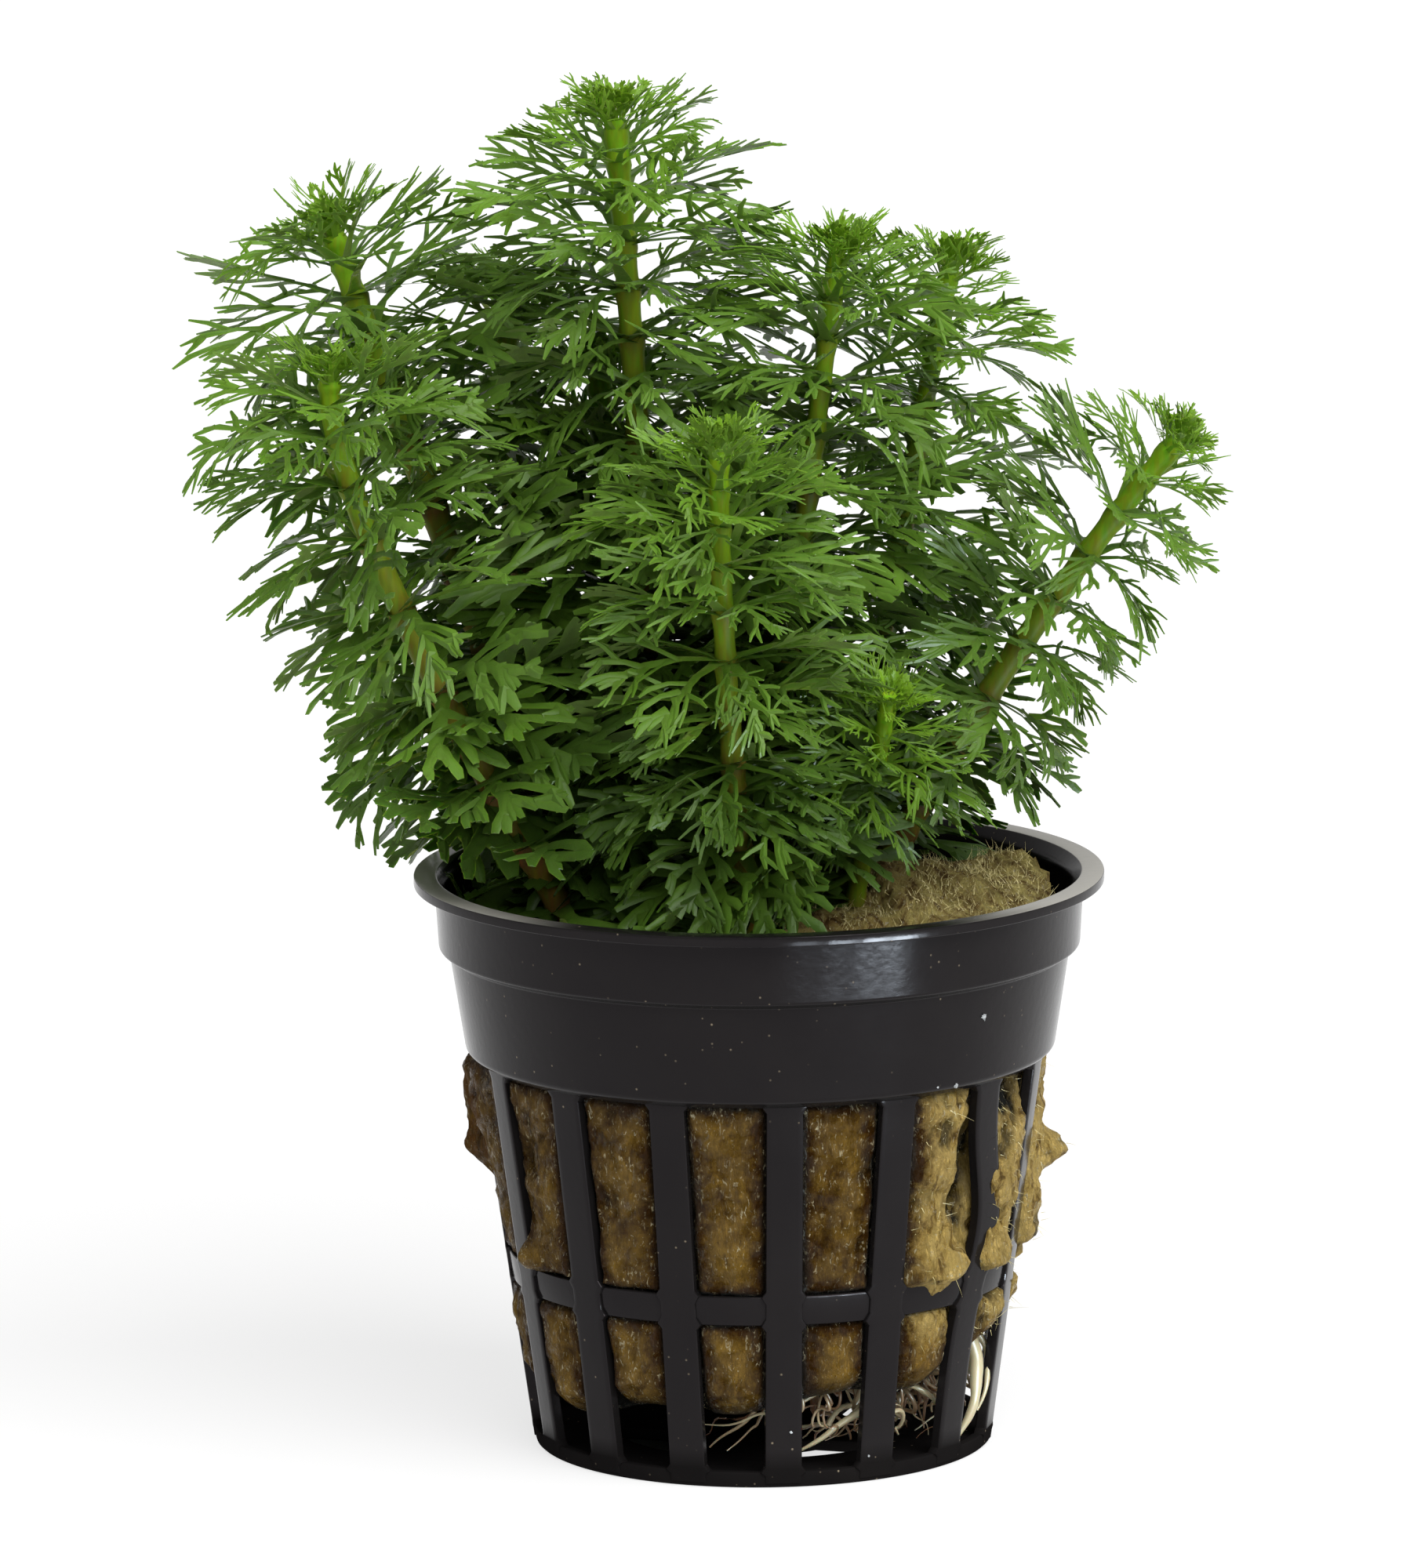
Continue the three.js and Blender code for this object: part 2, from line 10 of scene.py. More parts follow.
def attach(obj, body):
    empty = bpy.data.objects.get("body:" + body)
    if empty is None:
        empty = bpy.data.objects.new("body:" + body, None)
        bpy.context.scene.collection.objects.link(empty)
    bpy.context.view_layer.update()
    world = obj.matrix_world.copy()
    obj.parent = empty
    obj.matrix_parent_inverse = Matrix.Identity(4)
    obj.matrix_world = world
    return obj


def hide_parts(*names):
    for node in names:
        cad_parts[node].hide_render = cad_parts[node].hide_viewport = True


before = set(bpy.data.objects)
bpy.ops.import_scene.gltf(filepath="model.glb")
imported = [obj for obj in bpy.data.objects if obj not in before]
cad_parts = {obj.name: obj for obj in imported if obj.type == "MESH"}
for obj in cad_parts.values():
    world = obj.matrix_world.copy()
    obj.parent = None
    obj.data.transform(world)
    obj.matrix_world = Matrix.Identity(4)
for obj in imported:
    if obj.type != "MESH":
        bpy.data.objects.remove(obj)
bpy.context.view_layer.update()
scene = bpy.context.scene

# The camera stands far off and a little above, as a long lens would be used for a plant portrait.
# Its place comes from the ellipses of the pot's flange and foot in the photograph. MM turns sizes
# in millimetres into Blender's metres.
MM = 0.001
CAMERA_TARGET_MM = (-3.508, 0.0, 53.2)
CAMERA_DISTANCE_MM = 1100.0
CAMERA_ELEVATION = math.radians(10.695)
CAMERA_ROLL = math.radians(-0.534)
FRAME_HEIGHT_MM = 124.74
SENSOR_MM = 36.0

camera_data = bpy.data.cameras.new("portrait_camera")
camera_data.sensor_width = SENSOR_MM
camera_data.lens = SENSOR_MM * CAMERA_DISTANCE_MM / FRAME_HEIGHT_MM
camera_data.clip_start = 0.01
camera_data.clip_end = 20
camera = bpy.data.objects.new("portrait_camera", camera_data)
scene.collection.objects.link(camera)
scene.camera = camera
camera_back = Vector((0, -math.cos(CAMERA_ELEVATION), math.sin(CAMERA_ELEVATION)))
camera_turn = (-camera_back).to_track_quat("-Z", "Y").to_matrix().to_4x4()
camera_place = Vector(CAMERA_TARGET_MM) * MM + camera_back * CAMERA_DISTANCE_MM * MM
camera.matrix_world = Matrix.Translation(camera_place) @ camera_turn @ Matrix.Rotation(CAMERA_ROLL, 4, "Z")

# A pale table that glows like a light table, with shade painted dark on it in a disc under the pot, and a
# white surround.
# A broad diffused key light comes from above, the front and the right. Narrow panels low at the right,
# fainter towards the front, light nothing: the pot only mirrors them, as a window.
FLOOR_SIZE = 6.0
FLOOR_COLOUR = (0.27, 0.27, 0.27, 1)
FLOOR_PAINTED_SHADE = (0.04, 0.045, 0.035, 1)
FLOOR_GLOW = 0.72
SHADE_MIDDLE = (-0.0075, 0.001, 0)
SHADE_RADIUS = (0.0090, 0.0098)
SURROUND_STRENGTH = 0.41
KEY_FROM = (0.45, -0.6, 0.85)
KEY_STRENGTH = 3.55
KEY_SPREAD = math.radians(55)
PANEL_DISTANCE = 0.115
PANEL_HEIGHT = 0.015
PANEL_AIM = (0, 0, 0.03)
PANEL_POWERS = {13.5: 0.015, 24.5: 0.049, 35: 0.106, 44: 0.108}
PANEL_SIZE = (0.0145, 0.024)
PANEL_TINT = (0.77, 0.95, 1.0)


def give(socket, value):
    """Sets an input of a node to a plain value, or joins it to the output that is given."""
    if isinstance(value, bpy.types.NodeSocket):
        socket.id_data.links.new(value, socket)
    else:
        socket.default_value = value


def feed(node, *in_order, **named):
    """Gives values to a node's inputs in their order, and each named one to the input or setting of that
    name, with underscores for its spaces."""
    for socket, value in zip(node.inputs, in_order):
        give(socket, value)
    for key, value in named.items():
        socket_name = key.replace("_", " ")
        if socket_name in node.inputs:
            give(node.inputs[socket_name], value)
        else:
            setattr(node, key, value)
    return node


def node_adder(tree):
    """A short call that adds a node of some kind to the tree and feeds it."""
    def add(kind, *in_order, **named):
        return feed(tree.nodes.new(kind), *in_order, **named)

    return add


def new_material(name, roughness):
    """A material with a Principled shader, and the call that adds nodes to it."""
    material = bpy.data.materials.new(name)
    material.use_nodes = True
    shader = feed(material.node_tree.nodes["Principled BSDF"], Roughness=roughness)
    return material, shader, node_adder(material.node_tree)


floor_mesh = bpy.data.meshes.new("floor")
floor_reach = FLOOR_SIZE / 2
floor_corners = [(-floor_reach, -floor_reach, 0), (floor_reach, -floor_reach, 0),
                 (floor_reach, floor_reach, 0), (-floor_reach, floor_reach, 0)]
floor_mesh.from_pydata(floor_corners, [], [(0, 1, 2, 3)])
floor = bpy.data.objects.new("floor", floor_mesh)
scene.collection.objects.link(floor)
floor_paint, floor_shader, add = new_material("pale_floor", 0.9)
floor_place = add("ShaderNodeTexCoord")
from_shade = add("ShaderNodeVectorMath", floor_place.outputs["Object"], SHADE_MIDDLE, operation="DISTANCE")
out_of_shade = add("ShaderNodeMapRange", Value=from_shade.outputs["Value"],
                   From_Min=SHADE_RADIUS[0], From_Max=SHADE_RADIUS[1])
floor_glow = add("ShaderNodeMath", out_of_shade.outputs["Result"], FLOOR_GLOW, operation="MULTIPLY")
# Painted shade: a dark disc on the floor under the pot's left side, where the glow is also taken away.
floor_tint = add("ShaderNodeMix", data_type="RGBA", A=FLOOR_PAINTED_SHADE, B=FLOOR_COLOUR,
                 Factor=out_of_shade.outputs["Result"])
feed(floor_shader, Base_Color=floor_tint.outputs["Result"], Specular_IOR_Level=0.1,
     Emission_Color=(1, 1, 1, 1), Emission_Strength=floor_glow.outputs["Value"])
floor_mesh.materials.append(floor_paint)

world = bpy.data.worlds.new("white_surround")
scene.world = world
world.use_nodes = True
add = node_adder(world.node_tree)
surround = feed(world.node_tree.nodes["Background"], Strength=SURROUND_STRENGTH, Color=(1, 1, 1, 1))
seen_white = add("ShaderNodeBackground", Strength=1.0, Color=(1, 1, 1, 1))
ray_kind = add("ShaderNodeLightPath")
seen_or_lighting = add("ShaderNodeMixShader", ray_kind.outputs["Is Camera Ray"],
                       surround.outputs["Background"], seen_white.outputs["Background"])
feed(world.node_tree.nodes["World Output"], Surface=seen_or_lighting.outputs["Shader"])


def softbox(name, place, aim, size, power, tint):
    """A rectangular lamp at a place, facing the aim point, all in metres, with its power in watts. It is
    seen only in what mirrors it."""
    lamp = bpy.data.lights.new(name, "AREA")
    lamp.shape = "RECTANGLE"
    lamp.size, lamp.size_y = size
    lamp.energy = power
    lamp.color = tint
    holder = bpy.data.objects.new(name, lamp)
    scene.collection.objects.link(holder)
    holder.location = place
    holder.rotation_euler = (Vector(aim) - Vector(place)).to_track_quat("-Z", "Y").to_euler()
    holder.visible_camera = False
    holder.visible_diffuse = False


key_light = bpy.data.lights.new("diffused_key", "SUN")
key_light.energy = KEY_STRENGTH
key_light.angle = KEY_SPREAD
key_holder = bpy.data.objects.new("diffused_key", key_light)
scene.collection.objects.link(key_holder)
key_holder.rotation_euler = (Vector((0, 0, 0)) - Vector(KEY_FROM)).to_track_quat("-Z", "Y").to_euler()
for number, (panel_azimuth, panel_power) in enumerate(PANEL_POWERS.items()):
    panel_turn = math.radians(panel_azimuth)
    panel_x = PANEL_DISTANCE * math.sin(panel_turn)
    panel_y = -PANEL_DISTANCE * math.cos(panel_turn)
    panel_place = (panel_x, panel_y, PANEL_HEIGHT)
    softbox(f"window_panel_{number}", panel_place, PANEL_AIM, PANEL_SIZE, panel_power, PANEL_TINT)
scene.view_settings.view_transform = "Standard"

# The net pot: black polypropylene moulded in one shot. A solid collar and cone above, fifteen
# upright ribs with one band below, and a foot ring with four wide spokes and a hub under it.
POT_FOOT_RADIUS = 18.3
LATTICE_TOP = 31.6
LATTICE_TOP_RADIUS = 22.7
POT_WALL = 0.95
RIB_COUNT = 15
RIB_PITCH = 360 / RIB_COUNT
RIB_FIRST_AZIMUTH = 4.6
RIB_WIDTH = 2.9
RIB_STANDS_PROUD = 0.22
RIB_ROUNDING = 0.3
RIB_FOOT = 0.4
RIB_INTO_WALL = 0.5
RIB_OUTSIDE_TAPER = 0.02
WINDOW_CORNER_RADIUS = 0.35
FOOT_RING_HEIGHT = 1.3
BAND = (13.5, 15.9)
HUB_RADIUS = 7.0
FLOOR_RING_RADIUS = 12.0
FLOOR_THICKNESS = 1.0
SPOKE_COUNT = 4
SPOKE_FIRST_AZIMUTH = -17
SPOKE_WIDTH = 8.5
SPOKE_INTO_HUB = 1.6
SPOKE_INTO_RING = 0.8
FLOOR_ROUNDING = 0.2
BENT_RIB = 2
BEND_ASIDE = 2.0
BEND_HEIGHT = 20.0
BEND_REACH = 6.0
TURNED_STEPS = 240
CORNER_STEPS = 4
FLANGE_TOP = 46.2
FLANGE_LIP_RADIUS = 25.7


def new_piece(name, points_mm, faces, material, node, smooth_angle=40):
    """A finished object of its points in millimetres and its faces, as a list of index arrays. Edges that
    turn by more than smooth_angle degrees are shown sharp."""
    mesh = bpy.data.meshes.new(name)
    points = np.asarray(points_mm, dtype=np.float64) * MM
    sizes = np.concatenate([np.full(len(part), part.shape[1]) for part in faces])
    corners = np.concatenate([part.ravel() for part in faces])
    starts = np.concatenate([[0], np.cumsum(sizes)[:-1]])
    mesh.vertices.add(len(points))
    mesh.vertices.foreach_set("co", points.ravel())
    mesh.loops.add(len(corners))
    mesh.loops.foreach_set("vertex_index", corners.astype(np.int32))
    mesh.polygons.add(len(sizes))
    mesh.polygons.foreach_set("loop_start", starts.astype(np.int32))
    mesh.update(calc_edges=True)
    mesh.validate()
    mesh.shade_smooth()
    mesh.set_sharp_from_angle(angle=math.radians(smooth_angle))
    mesh.materials.append(material)
    piece = bpy.data.objects.new(name, mesh)
    scene.collection.objects.link(piece)
    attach(piece, "root")
    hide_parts(node)
    return piece


def grid_faces(rows, columns, close_rows=False):
    """Four-sided faces between neighbours on a grid of points, row by row. Each row is a closed ring, and
    with close_rows the last row also meets the first."""
    row = np.arange(rows if close_rows else rows - 1)[:, None]
    column = np.arange(columns)[None, :]
    next_row = (row + 1) % rows
    next_column = (column + 1) % columns
    corners = [row * columns + column, row * columns + next_column,
               next_row * columns + next_column, next_row * columns + column]
    return np.stack([np.broadcast_to(corner, (row.size, columns)) for corner in corners], -1).reshape(-1, 4)


def joined(shells):
    """Several shells as one, each its points and one or more lists of faces, with their indices moved on."""
    points, faces, start = [], [], 0
    for shell_points, *shell_faces in shells:
        points.append(shell_points)
        faces += [part + start for part in shell_faces]
        start += len(shell_points)
    return np.concatenate(points), faces


def around(azimuth, radius):
    """x and y of a place on a circle; azimuth in degrees from the front (-Y) towards +X."""
    turn = np.radians(azimuth)
    return radius * np.sin(turn), -radius * np.cos(turn)


def smooth_step(value, low, high):
    """0 below low, 1 above high, and between them 3 s^2 - 2 s^3 of the share s of the way."""
    share = np.clip((value - low) / (high - low), 0, 1)
    return share * share * (3 - 2 * share)


def tone_attribute(piece, name, values):
    """A number for every point of a piece, for its material to read."""
    attribute = piece.data.attributes.new(name, "FLOAT", "POINT")
    attribute.data.foreach_set("value", np.asarray(values, np.float32))


def lattice_radius(height):
    """The outside radius of the lattice at a height: a straight taper."""
    return POT_FOOT_RADIUS + (LATTICE_TOP_RADIUS - POT_FOOT_RADIUS) / LATTICE_TOP * height


def filleted(corners):
    """A closed outline whose corners (u, v, cut) are each rounded by a parabola between cut points."""
    places = np.array([corner[:2] for corner in corners])
    cuts = np.array([corner[2] for corner in corners])
    to_last = np.roll(places, 1, 0) - places
    to_next = np.roll(places, -1, 0) - places
    before = places + to_last / np.linalg.norm(to_last, axis=1)[:, None] * cuts[:, None]
    after = places + to_next / np.linalg.norm(to_next, axis=1)[:, None] * cuts[:, None]
    share = np.linspace(0, 1, CORNER_STEPS)[None, :, None]
    curve = (1 - share) ** 2 * before[:, None] + 2 * share * (1 - share) * places[:, None]
    curve = curve + share**2 * after[:, None]
    return curve.reshape(-1, 2)


def turned_ring(outline):
    """A closed outline of (radius, height), anticlockwise, turned once about the pot's axis."""
    azimuth = np.arange(TURNED_STEPS) / TURNED_STEPS * 360
    x, y = around(azimuth[None, :], outline[:, 0][:, None])
    z = np.broadcast_to(outline[:, 1][:, None], x.shape)
    points = np.stack([x, y, z], -1).reshape(-1, 3)
    return points, grid_faces(len(outline), TURNED_STEPS, close_rows=True)


def with_ends(rings):
    """A row of closed rings of points as one skin: its sides, and a fan of triangles on each end."""
    rows, columns = rings.shape[:2]
    flat = np.concatenate([rings.reshape(-1, 3), rings[[0, -1]].mean(1)])
    ring = np.arange(columns)
    ring_next = (ring + 1) % columns
    last = (rows - 1) * columns
    ends = np.concatenate([
        np.stack([ring_next, ring, np.full(columns, rows * columns)], -1),
        np.stack([last + ring, last + ring_next, np.full(columns, rows * columns + 1)], -1),
    ])
    return flat, grid_faces(rows, columns), ends


def rib(index):
    """A rounded bar up the lattice: a rectangle carried up the taper, wider in a round at each corner of a
    window."""
    height = np.concatenate([
        np.linspace(RIB_FOOT, FOOT_RING_HEIGHT, 3, endpoint=False),
        np.linspace(FOOT_RING_HEIGHT, BAND[0], 28, endpoint=False),
        np.linspace(BAND[0], BAND[1], 4, endpoint=False),
        np.linspace(BAND[1], LATTICE_TOP, 34, endpoint=False),
        np.linspace(LATTICE_TOP, LATTICE_TOP + RIB_INTO_WALL, 3),
    ])
    flare = np.zeros_like(height)
    for edge in (FOOT_RING_HEIGHT, *BAND, LATTICE_TOP):
        near = np.clip(1 - np.abs(height - edge) / WINDOW_CORNER_RADIUS, 0, 1)
        flare = np.maximum(flare, WINDOW_CORNER_RADIUS * (1 - np.sqrt(1 - near**2)))
    azimuth = RIB_FIRST_AZIMUTH + index * RIB_PITCH
    section = filleted([(u, v, RIB_ROUNDING) for u, v in ((-1, -1), (1, -1), (1, 1), (-1, 1))])
    half_width = RIB_WIDTH / 2 + flare
    aside = 0 * height
    if index == BENT_RIB:
        aside = BEND_ASIDE * np.exp(-(((height - BEND_HEIGHT) / BEND_REACH) ** 2))
    outer = lattice_radius(height) + RIB_OUTSIDE_TAPER
    depth = outer[:, None] - POT_WALL / 2 - section[None, :, 1] * POT_WALL / 2
    across = section[None, :, 0] * half_width[:, None] + aside[:, None]
    out_x, out_y = around(azimuth, 1.0)
    side_x, side_y = around(azimuth + 90, 1.0)
    points = np.stack([
        out_x * depth + side_x * across,
        out_y * depth + side_y * across,
        np.broadcast_to(height[:, None], depth.shape),
    ], -1)
    return with_ends(points)


def spoke(index):
    """A flat bar in the floor: a rounded section inside the hub, drawn out straight into the foot ring."""
    azimuth = SPOKE_FIRST_AZIMUTH + index * 360 / SPOKE_COUNT
    half = SPOKE_WIDTH / 2
    corners = ((-half, 0), (half, 0), (half, FLOOR_THICKNESS), (-half, FLOOR_THICKNESS))
    section = filleted([(u, v, FLOOR_ROUNDING) for u, v in corners])
    ends = np.array([HUB_RADIUS - SPOKE_INTO_HUB, FLOOR_RING_RADIUS + SPOKE_INTO_RING])
    out_x, out_y = around(azimuth, 1.0)
    side_x, side_y = around(azimuth + 90, 1.0)
    # A hair thinner than the hub and the ring, so that no two faces lie in one plane.
    points = np.stack([
        out_x * ends[:, None] + side_x * section[None, :, 0],
        out_y * ends[:, None] + side_y * section[None, :, 0],
        np.broadcast_to(0.01 + 0.98 * section[None, :, 1], (2, len(section))),
    ], -1)
    return with_ends(points)


upper_wall = turned_ring(filleted([
    (LATTICE_TOP_RADIUS - POT_WALL, LATTICE_TOP, 0.15),
    (LATTICE_TOP_RADIUS, LATTICE_TOP, 0.12),
    (23.5, 32.2, 0.3),
    (24.72, 39.95, 0.1),
    (25.55, 40.4, 0.2),
    (25.85, 45.4, 0.12),
    (27.5, 45.4, 0.12),
    (27.5, FLANGE_TOP, 0.15),
    (FLANGE_LIP_RADIUS, FLANGE_TOP, 0.12),
    (24.85, 45.2, 0.4),
    (24.5, 40.4, 0.3),
    (23.7, 38.9, 0.3),
    (22.5, 33.0, 0.8),
]))
band_ring = turned_ring(filleted([
    (lattice_radius(BAND[0]) - POT_WALL, BAND[0], 0.2),
    (lattice_radius(BAND[0]) - RIB_STANDS_PROUD, BAND[0], 0.2),
    (lattice_radius(BAND[1]) - RIB_STANDS_PROUD, BAND[1], 0.2),
    (lattice_radius(BAND[1]) - POT_WALL, BAND[1], 0.2),
]))
foot_ring = turned_ring(filleted([
    (FLOOR_RING_RADIUS, 0, 0.2),
    (POT_FOOT_RADIUS - 0.05, 0, 0.35),
    (lattice_radius(FOOT_RING_HEIGHT) - 0.1, FOOT_RING_HEIGHT, 0.2),
    (lattice_radius(FOOT_RING_HEIGHT) - POT_WALL, FOOT_RING_HEIGHT, 0.2),
    (POT_FOOT_RADIUS - 1.1, FLOOR_THICKNESS, 0.1),
    (FLOOR_RING_RADIUS, FLOOR_THICKNESS, 0.2),
]))
hub = turned_ring(filleted([
    (0.02, 0, 0.001),
    (HUB_RADIUS, 0, FLOOR_ROUNDING),
    (HUB_RADIUS, FLOOR_THICKNESS, FLOOR_ROUNDING),
    (0.02, FLOOR_THICKNESS, 0.001),
]))
pot_points, pot_faces = joined(
    [upper_wall, band_ring, foot_ring, hub]
    + [spoke(index) for index in range(SPOKE_COUNT)]
    + [rib(index) for index in range(RIB_COUNT)]
)


def speck_group():
    """Dried specks and dust: a speck is a dot round the middle of a cell, in about one cell of four, and
    only where a soft noise, the haze, is thick."""
    group = bpy.data.node_groups.new("specks_and_haze", "ShaderNodeTree")
    for socket_name in ("Speck scale", "Haze scale"):
        group.interface.new_socket(socket_name, in_out="INPUT", socket_type="NodeSocketFloat")
    for socket_name in ("Specks", "Haze"):
        group.interface.new_socket(socket_name, in_out="OUTPUT", socket_type="NodeSocketFloat")
    add = node_adder(group)
    given = add("NodeGroupInput")
    place = add("ShaderNodeTexCoord")
    cells = add("ShaderNodeTexVoronoi", Vector=place.outputs["Object"], Scale=given.outputs["Speck scale"])
    near = add("ShaderNodeMapRange", Value=cells.outputs["Distance"], From_Min=0.15, From_Max=0.07)
    apart = add("ShaderNodeSeparateColor", Color=cells.outputs["Color"])
    chance = add("ShaderNodeMath", apart.outputs["Red"], 0.72, operation="GREATER_THAN")
    both = add("ShaderNodeMath", near.outputs["Result"], chance.outputs[0], operation="MULTIPLY")
    haze = add("ShaderNodeTexNoise", Vector=place.outputs["Object"], Scale=given.outputs["Haze scale"],
               Detail=4)
    crowded = add("ShaderNodeMapRange", Value=haze.outputs["Fac"], From_Min=0.44, From_Max=0.62)
    shown = add("ShaderNodeMath", both.outputs[0], crowded.outputs["Result"], operation="MULTIPLY")
    add("NodeGroupOutput", Specks=shown.outputs[0], Haze=haze.outputs["Fac"])
    return group


SPECKS = speck_group()
POT_BLACK = (0.0068, 0.0062, 0.0066, 1)
POT_HAZED = (0.0118, 0.0106, 0.0102, 1)
SPECK_COLOUR = (0.20, 0.165, 0.115, 1)
RIM_PAINTED_REFLECTION = (0.38, 0.365, 0.33, 1)
POT_SHEEN = 0.125
DULL_FLOOR_BELOW = 1.6

pot_plastic, pot_shader, add = new_material("black_pot_plastic", 0.36)
specks = add("ShaderNodeGroup", node_tree=SPECKS, Speck_scale=1350, Haze_scale=160)
haze_tint = add("ShaderNodeMix", data_type="RGBA", A=POT_BLACK, B=POT_HAZED, Factor=specks.outputs["Haze"])
speck_tint = add("ShaderNodeMix", data_type="RGBA", A=haze_tint.outputs["Result"], B=SPECK_COLOUR,
                 Factor=specks.outputs["Specks"])
# Painted reflection: the rim's top is lighter away from the front, where it would mirror the bright
# surround.
rim_painted_reflection = add("ShaderNodeAttribute", attribute_name="rim_painted_reflection")
rim_tint = add("ShaderNodeMix", data_type="RGBA", A=speck_tint.outputs["Result"], B=RIM_PAINTED_REFLECTION,
               Factor=rim_painted_reflection.outputs["Fac"])
pot_gloss = add("ShaderNodeMapRange", Value=specks.outputs["Haze"], To_Min=0.09, To_Max=0.22)
pot_place = add("ShaderNodeTexCoord")
pot_height = add("ShaderNodeSeparateXYZ", Vector=pot_place.outputs["Object"])
above_floor = add("ShaderNodeMapRange", Value=pot_height.outputs["Z"], From_Min=DULL_FLOOR_BELOW * MM,
                  From_Max=2 * DULL_FLOOR_BELOW * MM, To_Max=POT_SHEEN)
pot_grain = add("ShaderNodeTexNoise", Vector=pot_place.outputs["Object"], Scale=1400, Detail=3)
pot_bump = add("ShaderNodeBump", Height=pot_grain.outputs["Fac"], Strength=0.12, Distance=0.0001)
feed(pot_shader, Base_Color=rim_tint.outputs["Result"], Roughness=pot_gloss.outputs["Result"],
     Specular_IOR_Level=above_floor.outputs["Result"], Specular_Tint=(1, 0.9, 0.97, 1),
     Normal=pot_bump.outputs["Normal"])
net_pot = new_piece("moulded_net_pot", pot_points, pot_faces, pot_plastic, "net_pot", 30)
pot_azimuth = np.degrees(np.arctan2(pot_points[:, 0], -pot_points[:, 1]))
on_rim = pot_points[:, 2] > FLANGE_TOP - 0.03
# The rim's top gets its painted reflection at the sides and back, none at the front.
tone_attribute(net_pot, "rim_painted_reflection", smooth_step(np.abs(pot_azimuth), 30, 60) * on_rim)


# Crumbs of dried fibre dust that stick to the pot's outside at the right: three on the collar and
# two on the ribs. Each is a small uneven lump, half sunk in the plastic: its azimuth, height,
# distance from the pot's axis and size.
CRUMBS = ((45.9, 37.6, 24.3, 0.31), (40.6, 32.3, 23.45, 0.22), (36.0, 32.4, 23.5, 0.10),
          (6.3, 4.7, 19.1, 0.12), (26.1, 2.2, 18.7, 0.10))
CRUMB_RINGS = 6
CRUMB_SIDES = 9
CRUMB_COLOUR = (0.40, 0.42, 0.43, 1)


def crumb(azimuth, height, radius, size, random):
    """A ball of rings with every corner moved in or out at random, at a radius round the pot's axis."""
    rise = np.linspace(-0.9, 0.9, CRUMB_RINGS)[:, None]
    turn = np.arange(CRUMB_SIDES)[None, :] / CRUMB_SIDES * 2 * np.pi
    reach = np.sqrt(1 - rise**2)
    ball = np.stack([reach * np.cos(turn), reach * np.sin(turn), rise + 0 * turn], -1)
    ball = ball * random.uniform(0.5, 1.25, (CRUMB_RINGS, CRUMB_SIDES, 1))
    x, y = around(azimuth, radius)
    return with_ends(ball * size + (x, y, height))


crumb_random = np.random.default_rng(31)
crumb_points, crumb_faces = joined([crumb(*place, crumb_random) for place in CRUMBS])
crumb_dust, crumb_shader, add = new_material("dried_fibre_dust", 0.6)
feed(crumb_shader, Base_Color=CRUMB_COLOUR)
new_piece("dried_crumbs", crumb_points, crumb_faces, crumb_dust, "rock_wool", 60)


# The mineral wool: one strip of wet yellow-brown fibre wound round the stem feet. It is pressed
# flat behind the ribs, swells out through the windows, and one torn flap stands up at the right.
WOOL_TOP = 40.5
WOOL_FOOT = (5.0, 9.6)
WOOL_COLUMNS = 500
WOOL_FOOT_ROWS = 8
WOOL_SIDE_ROWS = 112
WOOL_TOP_ROWS = 24
FLAP_START = (3.5, -15.5)
FLAP_END = (23.3, -0.8)
FLAP_DEPTH = 6.5
FLAP_TOP = 47.5
FLAP_LOW_PART_DOWN = 2.4
FLAP_START_DOWN = 1.6
FLAP_LEAN = 2.6
FOOT_ROUNDING_HEIGHT = 2.2
FOOT_ROUNDING_DEPTH = 2.6
SWIRL_CELL = 2.1
LUMP_CELL = 2.7
LUMP_DEPTH = 0.33
KNOT_CELL = 0.8
KNOT_DEPTH = 0.20
FLUFF_CELL = 0.42
FLUFF_DEPTH = 0.11


def lattice_noise(points, cell, seed):
    """Random heights on a cubic lattice of the given cell, blended smoothly between: about -1 to 1."""
    table = np.random.default_rng(seed).uniform(-1, 1, (32, 32, 32))
    place = np.asarray(points) / cell + 100.5
    whole = np.floor(place).astype(int)
    part = place - whole
    part = part * part * (3 - 2 * part)
    total = np.zeros(place.shape[:-1])
    for corner in np.ndindex(2, 2, 2):
        weight = np.prod(np.abs(1 - np.array(corner) - part), axis=-1)
        index = (whole + np.array(corner)) % 32
        total += weight * table[index[..., 0], index[..., 1], index[..., 2]]
    return total


def lump(azimuth, height, at_azimuth, at_height, wide, tall):
    """A round lump, 1 in its middle, at an azimuth and height; wide in degrees and tall in millimetres."""
    turn = (azimuth - at_azimuth + 180) % 360 - 180
    return np.exp(-((turn / wide) ** 2) - ((height - at_height) / tall) ** 2)


def flap_place(x, y):
    """Along the flap's front line, how far a place is, as a share, and how deep behind it in millimetres."""
    line = np.array(FLAP_END) - np.array(FLAP_START)
    length = np.linalg.norm(line)
    from_start = np.stack([x - FLAP_START[0], y - FLAP_START[1]], -1)
    return from_start @ line / length**2, from_start @ np.array([-line[1], line[0]]) / length


